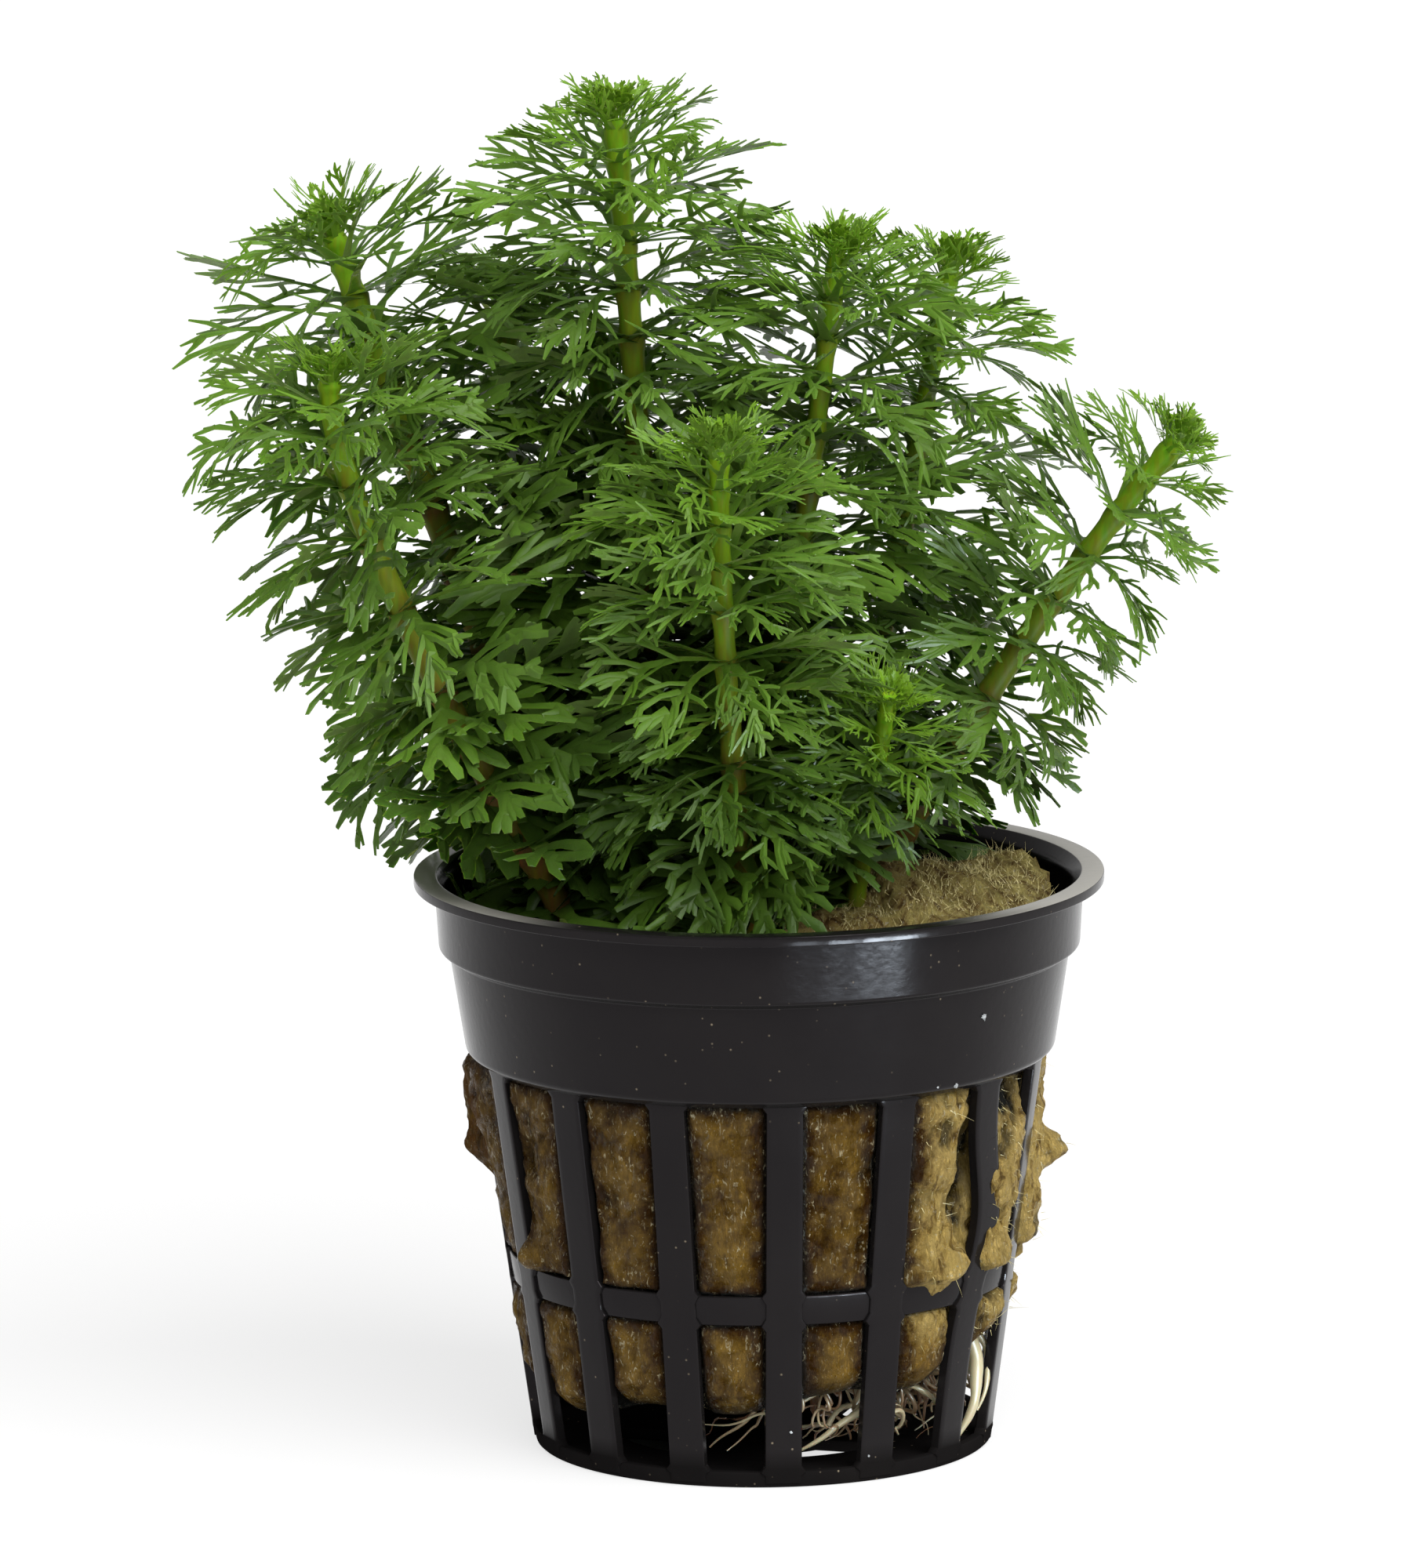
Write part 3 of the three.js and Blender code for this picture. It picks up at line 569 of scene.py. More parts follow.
def wool_top_height(x, y):
    """Height of the wool's upper side: a level bed, and the flap, a crest that falls towards its front by a
    power of the depth. Smooth steps with waves in them end it along its line and behind."""
    share, depth = flap_place(x, y)
    ragged = 0.035 * np.sin(5.1 * depth) + 0.02 * np.sin(11.7 * depth)
    in_length = smooth_step(share + ragged, -0.06, 0.04) * (1 - smooth_step(share + ragged, 1.0, 1.13))
    wave = 0.45 * np.sin(9.0 * share) + 0.25 * np.sin(23.0 * share + 1)
    in_depth = 1 - smooth_step(depth + wave, FLAP_DEPTH - 0.9, FLAP_DEPTH + 0.3)
    low_part = 1 - smooth_step(share + ragged, 0.36, 0.50)
    uneven = 0.3 * np.sin(17 * share + 0.9 * depth) + 0.2 * np.sin(31 * share - 1.3 * depth)
    start_part = 1 - smooth_step(share, -0.1, 0.4)
    crest = FLAP_TOP - 0.2 + uneven - FLAP_LOW_PART_DOWN * low_part - FLAP_START_DOWN * start_part
    lean = FLAP_LEAN * np.clip(1 - depth / FLAP_DEPTH, 0, 2) ** 1.6
    flap = np.maximum(crest - lean, WOOL_TOP - 0.5)
    return WOOL_TOP + (flap - WOOL_TOP) * in_length * in_depth


def inside_window(azimuth, height):
    """How far inside the nearest edge of its window a place is, in millimetres: below 0 behind a bar."""
    wall = lattice_radius(np.minimum(height, LATTICE_TOP)) - POT_WALL
    to_rib = np.abs((azimuth - RIB_FIRST_AZIMUTH + RIB_PITCH / 2) % RIB_PITCH - RIB_PITCH / 2)
    from_rib = np.radians(to_rib) * wall - RIB_WIDTH / 2
    from_upper = np.minimum(height - BAND[1], LATTICE_TOP - height)
    return np.minimum(from_rib, np.maximum(from_upper, BAND[0] - height))


def torn_share(azimuth, height):
    """Where the wool is pulled out and fluffy: a wide region at the right, from 1 inside it to 0 outside."""
    return smooth_step(azimuth, 30, 40) * (1 - smooth_step(azimuth, 110, 125)) * smooth_step(height, 9, 13)


# Lumps that are pulled out through the windows, or pressed in: azimuth, height, width in degrees,
# height of the lump and how far it stands out, in millimetres.
WOOL_LUMPS = (
    (94, 23.0, 3.8, 1.5, 3.3), (95, 25.4, 5, 1.6, 0.5), (88, 17.8, 7, 3.4, 1.2),
    (88, 16.4, 7, 1.8, 0.9), (64, 23.0, 7, 5.0, 0.8),
    (64, 30.0, 8, 1.8, -1.6), (60, 16.6, 7, 1.6, 1.9), (42, 16.0, 5, 1.5, 1.7), (35, 16.6, 3, 1.4, 1.2),
    (47, 17.5, 3, 1.2, 1.3), (37, 28.0, 6, 3.5, 0.7), (49, 25.0, 3.6, 3.6, -2.2), (46, 21.8, 2.0, 1.0, -1.3),
    (66, 12.0, 7, 1.6, 0.6), (-93, 27.8, 10, 3.6, 2.3), (-96, 23.2, 6, 1.9, 2.2), (-93, 30.3, 4, 1.0, 1.0),
    (-88, 25.5, 3, 1.2, -1.0), (-63, 17.0, 6, 1.5, 1.5), (-60, 25.5, 3, 1.4, -0.8), (-50, 18.5, 5, 1.6, 0.5),
    (150, 22.0, 9, 4.0, 0.9), (205, 27.0, 8, 3.0, 0.8), (236, 19.0, 7, 3.0, 0.9),
)


def pulled_out(azimuth, height):
    """How far all the lumps together move the wool's side at a place, in millimetres: inwards below 0."""
    total = 0 * (azimuth + height)
    for at_azimuth, at_height, wide, tall, stands_out in WOOL_LUMPS:
        total = total + stands_out * lump(azimuth, height, at_azimuth, at_height, wide, tall)
    return total


def wool_side_radius(azimuth, height):
    """Radius of the wool's side: inside the wall, filling each window to its edges, with its torn lumps."""
    wall = lattice_radius(np.minimum(height, LATTICE_TOP)) - POT_WALL - 0.3
    inset = inside_window(azimuth, height)
    filled = 0.75 * smooth_step(inset, -0.2, 0.4) + 0.25 * smooth_step(inset, 0, 2.6)
    sideways = np.sin(np.radians(azimuth)) ** 2
    above = 0.24 * np.clip(height - LATTICE_TOP - 1.4, 0, None)
    return wall + above + (1.0 + 0.35 * sideways) * filled + pulled_out(azimuth, height)


azimuth = np.arange(WOOL_COLUMNS)[None, :] / WOOL_COLUMNS * 360 - 180
foot_rows = np.linspace(0.02, 1, WOOL_FOOT_ROWS, endpoint=False)[:, None]
side_rows = np.linspace(0, 1, WOOL_SIDE_ROWS)[:, None]
top_rows = np.linspace(1, 0.004, WOOL_TOP_ROWS + 1)[1:, None]
foot_rise = (0.5 + 0.5 * np.sin(np.radians(azimuth - 12))) ** 2
foot_edge = WOOL_FOOT[0] + foot_rise * (WOOL_FOOT[1] - WOOL_FOOT[0])
foot_edge = foot_edge + 1.1 * np.sin(np.radians(azimuth * 5 + 40)) * np.sin(np.radians(azimuth * 2 + 10))
side_height = foot_edge + side_rows * (WOOL_TOP - foot_edge)
side_radius = wool_side_radius(azimuth, side_height)
above_foot = side_height - foot_edge
foot_rounded = 1 - np.sqrt(np.clip(above_foot / FOOT_ROUNDING_HEIGHT, 0, 1))
side_radius = side_radius - FOOT_ROUNDING_DEPTH * foot_rounded
foot_radius = foot_rows * side_radius[:1]
foot_height = foot_edge + 0.8 * (1 - foot_rows**2)
top_radius = top_rows * side_radius[-1:]
radius = np.concatenate([foot_radius, side_radius, top_radius])
height = np.concatenate([foot_height, side_height, WOOL_TOP + 0 * top_radius])
wool_x, wool_y = around(azimuth, radius)
top_side = np.concatenate([0 * foot_rows, smooth_step(side_rows, 0.93, 1), 0 * top_rows + 1])
lifted = wool_top_height(wool_x, wool_y) - WOOL_TOP
wool_points = np.stack([wool_x, wool_y, height + lifted * top_side**3], -1)

torn = torn_share(azimuth, height) * (1 - top_side)
swirl = 0.9 * np.stack([lattice_noise(wool_points, SWIRL_CELL, 10 + axis) for axis in range(3)], -1)
wool_lumps = lattice_noise(wool_points + swirl, LUMP_CELL, 1)
wool_knots = lattice_noise((wool_points + swirl) * (1, 1, 0.6), KNOT_CELL, 2)
wool_fluff = lattice_noise(wool_points, FLUFF_CELL, 3)
wool_rough = LUMP_DEPTH * wool_lumps + KNOT_DEPTH * wool_knots * np.abs(wool_knots) ** 0.3
wool_rough = wool_rough + FLUFF_DEPTH * wool_fluff
wool_rough = wool_rough * (1 + 0.7 * torn)
out_x, out_y = around(azimuth, 1 - top_side)
wool_out = np.stack([out_x, out_y, top_side + 0 * azimuth], -1)
wool_points = wool_points + wool_out * wool_rough[..., None]
wool_flat, *wool_faces = with_ends(wool_points)


WOOL_PAINTED_SHADE = (0.006, 0.005, 0.0015, 1)
WOOL_BROWN = (0.050, 0.020, 0.002, 1)
WOOL_OLIVE = (0.325, 0.192, 0.030, 1)
WOOL_OCHRE = (0.70, 0.50, 0.155, 1)
WOOL_DRY = (0.66, 0.55, 0.180, 1)
WOOL_DRY_BROWN = (0.33, 0.22, 0.075, 1)
WOOL_RUSTY = (0.36, 0.17, 0.030, 1)
WOOL_RUSTY_WET = (0.15, 0.062, 0.008, 1)
FIBRE_ENDS_AND_GLINTS = (0.66, 0.58, 0.36, 1)

mineral_wool, wool_shader, add = new_material("wet_mineral_wool", 0.62)
wool_place = add("ShaderNodeTexCoord")
wool_drawn = add("ShaderNodeMapping", Vector=wool_place.outputs["Object"], Scale=(1, 1, 0.42))
wool_patches = add("ShaderNodeTexNoise", Vector=wool_place.outputs["Object"], Scale=420, Detail=6,
                   Roughness=0.75)
wool_pits = add("ShaderNodeTexNoise", Vector=wool_drawn.outputs["Vector"], Scale=850, Detail=4,
                Roughness=0.65, Distortion=0.6)
crest = add("ShaderNodeAttribute", attribute_name="crest")
torn_mark = add("ShaderNodeAttribute", attribute_name="torn")
dry = add("ShaderNodeAttribute", attribute_name="dry")
rusty = add("ShaderNodeAttribute", attribute_name="rusty")
painted_shade = add("ShaderNodeAttribute", attribute_name="painted_shade")

# Brown in the wet, olive on the crests; where it is torn, ochre in patches.
crest_mixed = add("ShaderNodeMath", crest.outputs["Fac"], 0.55, wool_patches.outputs["Fac"],
                  operation="MULTIPLY_ADD")
patch_ramp = add("ShaderNodeMapRange", Value=crest_mixed.outputs[0], From_Min=0.52, From_Max=1.02)
wool_base = add("ShaderNodeMix", data_type="RGBA", A=WOOL_BROWN, B=WOOL_OLIVE,
                Factor=patch_ramp.outputs["Result"])
torn_less = add("ShaderNodeMapRange", Value=wool_patches.outputs["Fac"], From_Min=0.3, From_Max=0.7,
                To_Min=-0.75, To_Max=0.0)
torn_strength = add("ShaderNodeMath", torn_mark.outputs["Fac"], 1.3, torn_less.outputs["Result"],
                    operation="MULTIPLY_ADD", use_clamp=True)
torn_mottle = add("ShaderNodeMapRange", Value=wool_pits.outputs["Fac"], From_Min=0.36, From_Max=0.54,
                  To_Min=0.25, To_Max=1.1)
torn_tint = add("ShaderNodeMix", data_type="RGBA", A=WOOL_OLIVE, B=WOOL_OCHRE,
                Factor=torn_mottle.outputs["Result"])
wool_torn = add("ShaderNodeMix", data_type="RGBA", A=wool_base.outputs["Result"],
                B=torn_tint.outputs["Result"], Factor=torn_strength.outputs[0])

# Rusty stains in the wet, and the dry upper side, mottled and rusty in its own places.
dry_mottle = add("ShaderNodeMapRange", Value=wool_pits.outputs["Fac"], From_Min=0.38, From_Max=0.60)
rusty_share = add("ShaderNodeMath", rusty.outputs["Fac"], dry_mottle.outputs["Result"],
                  operation="MULTIPLY")
wool_rusted = add("ShaderNodeMix", data_type="RGBA", A=wool_torn.outputs["Result"], B=WOOL_RUSTY_WET,
                  Factor=rusty_share.outputs[0])
dry_mottled = add("ShaderNodeMix", data_type="RGBA", A=WOOL_DRY_BROWN, B=WOOL_DRY,
                  Factor=dry_mottle.outputs["Result"])
dry_rusty = add("ShaderNodeMix", data_type="RGBA", A=dry_mottled.outputs["Result"], B=WOOL_RUSTY,
                Factor=rusty.outputs["Fac"])
dry_share = add("ShaderNodeMapRange", Value=wool_patches.outputs["Fac"], From_Min=0.34, From_Max=0.56,
                To_Min=0.45)
dry_patchy = add("ShaderNodeMath", dry.outputs["Fac"], dry_share.outputs["Result"], operation="MULTIPLY")
wool_dry = add("ShaderNodeMix", data_type="RGBA", A=wool_rusted.outputs["Result"],
               B=dry_rusty.outputs["Result"], Factor=dry_patchy.outputs[0])

# Brown pits, painted shade in hollows and along edges, and pale fibre ends with painted wet glints in
# clusters on top of all.
pit_share = add("ShaderNodeMapRange", Value=wool_pits.outputs["Fac"], From_Min=0.45, From_Max=0.32,
                To_Max=0.75)
wool_pitted = add("ShaderNodeMix", data_type="RGBA", A=wool_dry.outputs["Result"], B=WOOL_BROWN,
                  Factor=pit_share.outputs["Result"])
wool_shade = add("ShaderNodeMix", data_type="RGBA", A=wool_pitted.outputs["Result"], B=WOOL_PAINTED_SHADE,
                 Factor=painted_shade.outputs["Fac"])
# Pale fibre ends that are also painted wet glints: light specks in clusters stand in for the wet wool's
# sparkle.
wool_ends_and_glints = add("ShaderNodeTexNoise", Vector=wool_drawn.outputs["Vector"], Scale=3300, Detail=2,
                Roughness=0.6, Distortion=1.1)
end_glint_share = add("ShaderNodeMapRange", Value=wool_ends_and_glints.outputs["Fac"], From_Min=0.60, From_Max=0.70)
end_glint_cluster = add("ShaderNodeMapRange", Value=wool_patches.outputs["Fac"], From_Min=0.40, From_Max=0.56)
end_glint_shown = add("ShaderNodeMath", end_glint_share.outputs["Result"], end_glint_cluster.outputs["Result"],
                operation="MULTIPLY")
wool_tipped_and_glinted = add("ShaderNodeMix", data_type="RGBA", A=wool_shade.outputs["Result"], B=FIBRE_ENDS_AND_GLINTS,
                  Factor=end_glint_shown.outputs[0])

# Fine drawn fibres in relief, and a wet gloss in patches where the wool isn't dry.
wool_fibres = add("ShaderNodeTexNoise", Vector=wool_drawn.outputs["Vector"], Scale=2400, Detail=5,
                  Roughness=0.72, Distortion=1.6)
wool_bump = add("ShaderNodeBump", Height=wool_fibres.outputs["Fac"], Strength=1.0, Distance=0.0012)
wet_patches = add("ShaderNodeTexNoise", Vector=wool_place.outputs["Object"], Scale=700, Detail=2)
wet_range = add("ShaderNodeMapRange", Value=wet_patches.outputs["Fac"], From_Min=0.44, From_Max=0.56)
wet_only = add("ShaderNodeMath", wet_range.outputs["Result"], dry.outputs["Fac"], operation="SUBTRACT",
               use_clamp=True)
wool_gloss = add("ShaderNodeMapRange", Value=wet_only.outputs[0], To_Min=0.7, To_Max=0.12)
feed(wool_shader, Base_Color=wool_tipped_and_glinted.outputs["Result"], Roughness=wool_gloss.outputs["Result"],
     Specular_IOR_Level=0.11, Normal=wool_bump.outputs["Normal"])

wool = new_piece("mineral_wool_plug", wool_flat, wool_faces, mineral_wool, "rock_wool", 180)
window_inset = inside_window(azimuth, height)
in_window = smooth_step(window_inset, 0, 2.0) * (1 - top_side)
inner_top = top_side * (1 - smooth_step(lifted, 0.3, 1.6))
pulled = pulled_out(azimuth, height)
# Painted shade: darker in recesses of the relief, on the level top inside the pot, along the window edges,
# where lumps are pressed in, and just above the foot.
wool_painted_shade_values = smooth_step(-wool_rough, 0.12, 0.50) * (0.8 - 0.5 * top_side) + 0.8 * inner_top
at_edge = 1 - smooth_step(window_inset, -0.1, 0.5)
edge_shade = at_edge * (1 - 0.8 * torn) * (1 - smooth_step(pulled, 0.3, 1.0))
wool_painted_shade_values = wool_painted_shade_values + 0.9 * edge_shade * (1 - top_side)
wool_painted_shade_values = wool_painted_shade_values + np.clip(-pulled / 1.5, 0, 1) * (1 - top_side)
wool_painted_shade_values = wool_painted_shade_values + 0.8 * (1 - smooth_step(height - foot_edge, 0.0, 1.6)) * (1 - top_side)
flap_along, flap_deep = flap_place(wool_x, wool_y)
rusty_values = top_side * np.exp(-(((flap_along - 0.14) / 0.18) ** 2) - ((flap_deep + 1.0) / 3.0) ** 2)
stained_left = 0.9 * smooth_step(-azimuth, 62, 84) * smooth_step(pulled, 0.1, 0.9) * (1 - top_side)
rusty_values = rusty_values + stained_left
tone_attribute(wool, "dry", np.concatenate([np.broadcast_to(top_side, radius.shape).ravel(), [0, 1]]))
tone_attribute(wool, "rusty", np.concatenate([rusty_values.ravel(), [0, 0]]))
tone_attribute(wool, "torn", np.concatenate([torn.ravel(), [0, 0]]))
tone_attribute(wool, "painted_shade", np.concatenate([np.clip(wool_painted_shade_values, 0, 1).ravel(), [1, 1]]))
crested = np.maximum(in_window, 0.8 * smooth_step(pulled, 0.3, 1.0) * (1 - top_side))
tone_attribute(wool, "crest", np.concatenate([(crested * (0.5 + wool_rough)).ravel(), [0, 0]]))


# Loose fibres of the wool: fine short threads that stand up on the flap and stick out where the
# wool is torn. They are part of the same wool, drawn out by hand when it was wound.
STRAND_RADIUS = 0.026
STRAND_RINGS = 4
FLAP_STRANDS = 3000
TORN_STRANDS = 600


def strands(roots, directions, lengths, bends):
    """Thin three-sided threads: each runs from its root along its direction, and bends as the square of the
    share of its length."""
    share = np.linspace(0, 1, STRAND_RINGS)[None, :, None]
    way = directions[:, None] * share + bends[:, None] * share**2
    path = roots[:, None] + lengths[:, None, None] * way
    side, third = cross_directions(directions)
    turn = np.radians([0, 120, 240])
    section = side[:, None] * np.cos(turn)[None, :, None] + third[:, None] * np.sin(turn)[None, :, None]
    thickness = STRAND_RADIUS * (1.15 - share[0, :, 0])
    points = path[:, :, None] + section[:, None] * thickness[None, :, None, None]
    first = 3 * STRAND_RINGS * np.arange(len(roots))[:, None, None]
    quads = (grid_faces(STRAND_RINGS, 3)[None] + first).reshape(-1, 4)
    last = 3 * (STRAND_RINGS - 1)
    ends = (np.array([[2, 1, 0], [last, last + 1, last + 2]])[None] + first).reshape(-1, 3)
    return points.reshape(-1, 3), [quads, ends]


def cross_directions(along):
    """The two directions square to a line: the nearest to +X, and the third."""
    side = np.array([1.0, 0, 0]) - along * along[..., :1]
    side /= np.linalg.norm(side, axis=-1, keepdims=True)
    return side, np.cross(along, side)


strand_random = np.random.default_rng(7)
flap_share = strand_random.uniform(0.0, 1.0, FLAP_STRANDS)
flap_depth = strand_random.uniform(-6.0, FLAP_DEPTH + 0.3, FLAP_STRANDS)
flap_line = np.array(FLAP_END) - np.array(FLAP_START)
flap_side = np.array([-flap_line[1], flap_line[0]]) / np.linalg.norm(flap_line)
flap_roots = np.array(FLAP_START) + flap_share[:, None] * flap_line + flap_depth[:, None] * flap_side
flap_heights = wool_top_height(flap_roots[:, 0], flap_roots[:, 1])
flap_roots = np.concatenate([flap_roots, flap_heights[:, None] - 0.1], 1)
flap_ways = np.concatenate([strand_random.normal(0, 0.8, (FLAP_STRANDS, 2)), np.ones((FLAP_STRANDS, 1))], 1)
torn_azimuth = strand_random.uniform(34, 112, TORN_STRANDS)
torn_height = strand_random.uniform(10, 31, TORN_STRANDS)
torn_x, torn_y = around(torn_azimuth, wool_side_radius(torn_azimuth, torn_height) - 0.1)
torn_roots = np.stack([torn_x, torn_y, torn_height], -1)
torn_ways = np.stack([*around(torn_azimuth, 1.0), -0.3 + 0 * torn_x], -1)
torn_ways = torn_ways + strand_random.normal(0, 0.6, (TORN_STRANDS, 3))
strand_roots = np.concatenate([flap_roots, torn_roots])
strand_ways = np.concatenate([flap_ways, torn_ways])
strand_ways /= np.linalg.norm(strand_ways, axis=1)[:, None]
in_pot = (flap_heights > WOOL_TOP + 1.0) & (np.hypot(flap_roots[:, 0], flap_roots[:, 1]) < 24)
kept_strands = np.concatenate([in_pot, inside_window(torn_azimuth, torn_height) > 0.2])
strand_count = int(kept_strands.sum())
strand_points, strand_faces = strands(
    strand_roots[kept_strands],
    strand_ways[kept_strands],
    strand_random.uniform(0.25, 0.8, strand_count),
    strand_random.normal(0, 0.55, (strand_count, 3)),
)
loose_fibre, fibre_shader, add = new_material("loose_wool_fibre", 0.5)
feed(fibre_shader, Base_Color=(0.62, 0.54, 0.24, 1))
new_piece("loose_wool_fibres", strand_points, strand_faces, loose_fibre, "rock_wool")


# The roots: pale soft threads out of the wool's foot at the right, the thickest one reaching the
# floor; the rest curl through the space under the wool, some of them brown with age. A leading
# root is given by its start, bend, end and thickness.
ROOT_SIDES = 7
ROOT_RINGS = 26
LEADING_ROOTS = (
    ((16.2, -6.4, 9.8), (18.2, -7.4, 6.0), (15.4, -8.2, 1.7), 0.62),
    ((16.6, -4.6, 9.8), (19.2, -5.4, 7.4), (17.0, -6.4, 3.4), 0.34),
    ((16.0, 0.5, 8.6), (18.5, 2.5, 5.4), (14.5, 6.5, 1.9), 0.42),
    ((10.5, -12.5, 7.5), (7.0, -15.5, 4.6), (2.5, -14.6, 2.0), 0.36),
)
FINE_ROOTS = 58


def tube(path, along, radii, sides):
    """A round section carried along a path of points and directions, closed at each end."""
    side, third = cross_directions(along)
    angle = np.arange(sides) / sides * 2 * np.pi
    section = side[:, None] * np.cos(angle)[None, :, None] + third[:, None] * np.sin(angle)[None, :, None]
    return with_ends(path[:, None] + section * radii.reshape(len(path), -1, 1))


root_random = np.random.default_rng(11)
root_bows = [(*np.array(places), size) for *places, size in LEADING_ROOTS]
for _ in range(FINE_ROOTS):
    from_azimuth = root_random.uniform(12, 95)
    to_azimuth = from_azimuth + root_random.uniform(-45, 45)
    start = np.array([*around(from_azimuth, root_random.uniform(9, 16)), root_random.uniform(7.0, 9.5)])
    bend_azimuth = (from_azimuth + to_azimuth) / 2
    bend = np.array([*around(bend_azimuth, root_random.uniform(13, 19)), root_random.uniform(3, 7)])
    end = np.array([*around(to_azimuth, root_random.uniform(10, 16.8)), root_random.uniform(1.4, 5.0)])
    root_bows.append((start, bend, end, root_random.uniform(0.10, 0.28)))
root_shells, root_tones = [], []
root_share = np.linspace(0, 1, ROOT_RINGS)
for number, (start, bend, end, size) in enumerate(root_bows):
    share = root_share[:, None]
    path = (1 - share) ** 2 * start + 2 * share * (1 - share) * bend + share**2 * end
    curl = root_random.uniform(0.3, 1.3) if number >= len(LEADING_ROOTS) else 0.12
    curl_turn = 2 * np.pi * (root_random.uniform(0.8, 2.2) * root_share + root_random.random())
    curl_way = np.stack([np.cos(curl_turn), np.sin(curl_turn), 0.6 * np.sin(1.7 * curl_turn)], -1)
    path = path + curl * curl_way * np.sin(np.pi * share)
    path[:, 2] = np.maximum(path[:, 2], FLOOR_THICKNESS + size)
    along = np.gradient(path, axis=0)
    along /= np.linalg.norm(along, axis=1)[:, None]
    thickness = size * (1 - 0.7 * root_share**2) * (1 + 0.12 * lattice_noise(path, 0.9, 6))
    root_shells.append(tube(path, along, thickness, ROOT_SIDES))
    browned = 0.0 if number < len(LEADING_ROOTS) else root_random.uniform(0, 1) ** 0.8
    root_tones.append(np.full(len(root_shells[-1][0]), browned))
root_points, root_faces = joined(root_shells)

ROOT_PALE = (0.56, 0.50, 0.31, 1)
ROOT_BROWN = (0.17, 0.080, 0.032, 1)
root_skin, root_shader, add = new_material("root_skin", 0.35)
root_age = add("ShaderNodeAttribute", attribute_name="age")
root_tint = add("ShaderNodeMix", data_type="RGBA", A=ROOT_PALE, B=ROOT_BROWN, Factor=root_age.outputs["Fac"])
feed(root_shader, Base_Color=root_tint.outputs["Result"], Subsurface_Weight=0.2, Subsurface_Scale=0.0005)
roots = new_piece("root_tangle", root_points, root_faces, root_skin, "roots", 60)
tone_attribute(roots, "age", np.concatenate(root_tones))


# The shoots: round juicy stalks with a node every few millimetres, growing in one bow from the
# wool to the tip. At each node the stalk is a little thicker and redder.
SHOOTS = {
    "shoot_tall": ((-6.5, 3.5, 30), (-8.5, 4.5, 70), (-10.9, 5, 107.0)),
    "shoot_back_left": ((-9.5, 5.5, 30), (-28, 8, 80), (-33.6, 9, 96.8)),
    "shoot_left": ((-7.5, -4, 30), (-34.5, -7.5, 76), (-33.4, -7, 87.5)),
    "shoot_front": ((0.5, -6, 30), (-3, -14, 60), (-2.9, -14.5, 83.4)),
    "shoot_behind": ((-5, 8, 30), (-12, 12, 60), (-12.4, 15.5, 85)),
    "shoot_middle": ((-1.5, 2.5, 30), (3, 3, 68), (6.8, 3.5, 95.9)),
    "shoot_back_right": ((3.5, 6, 30), (10.5, 10.5, 66), (15.9, 12.5, 93.5)),
    "shoot_far_right": ((1.5, -0.5, 30), (15, -0.5, 59), (34.0, -1, 81.4)),
    "shoot_young": ((5.5, -5, 32), (8.5, -4, 50), (10.4, -12, 62.8)),
    "shoot_hidden": ((-9, 9.5, 30), (-22, 14, 72), (-19.5, 15, 91)),
}
STALK_RADIUS = 1.25
STALK_TIP_RADIUS = 0.85
STALK_SIDES = 12
STALK_RINGS = 100
STALK_SLIMMER = {"shoot_young": 0.66, "shoot_front": 0.80, "shoot_middle": 0.80, "shoot_back_right": 0.80,
                 "shoot_tall": 0.93, "shoot_left": 0.90, "shoot_far_right": 0.90}
STALK_OLD_AT = 46.0
STALK_RIDGES = 6
RIDGE_DEPTH = 0.035
NODE_SWELLING = 0.22
NODE_HALF_HEIGHT = 0.75
TOP_WHORL_BELOW_TIP = 2.4
LONGEST_INTERNODE = 6.8
INTERNODE_GROWTH = 2.3
CLOSE_SET = {"shoot_tall": 0.64, "shoot_front": 0.66, "shoot_middle": 0.75, "shoot_behind": 0.85,
             "shoot_back_left": 0.92, "shoot_young": 0.6, "shoot_far_right": 0.75, "shoot_back_right": 0.8,
             "shoot_left": 1.06}
BASAL_LENGTH = 27.0
BASAL_CLOSER = 0.55


def bow(shoot, share):
    """Points and unit directions of a shoot's middle line: a parabola from foot past bend to tip."""
    foot, bend, tip = (np.array(place, float) for place in SHOOTS[shoot])
    share = np.asarray(share)[..., None]
    place = (1 - share) ** 2 * foot + 2 * share * (1 - share) * bend + share**2 * tip
    along = (1 - share) * (bend - foot) + share * (tip - bend)
    return place, along / np.linalg.norm(along, axis=-1, keepdims=True)


def whorl_distances(shoot):
    """Distances of the whorls below the tip. A gap falls short of the longest by a share that shrinks by e
    to the power of its number over INTERNODE_GROWTH, and near the foot the gaps are closer."""
    foot, _, tip = (np.array(place, float) for place in SHOOTS[shoot])
    length = np.linalg.norm(tip - foot)
    distances = [TOP_WHORL_BELOW_TIP]
    while distances[-1] < length:
        gap = LONGEST_INTERNODE * (1 - math.exp(-(len(distances) + 0.9) / INTERNODE_GROWTH))
        basal = BASAL_CLOSER if length - distances[-1] < BASAL_LENGTH else 1
        distances.append(distances[-1] + gap * CLOSE_SET.get(shoot, 1) * basal)
    return np.array(distances[:-1]), length


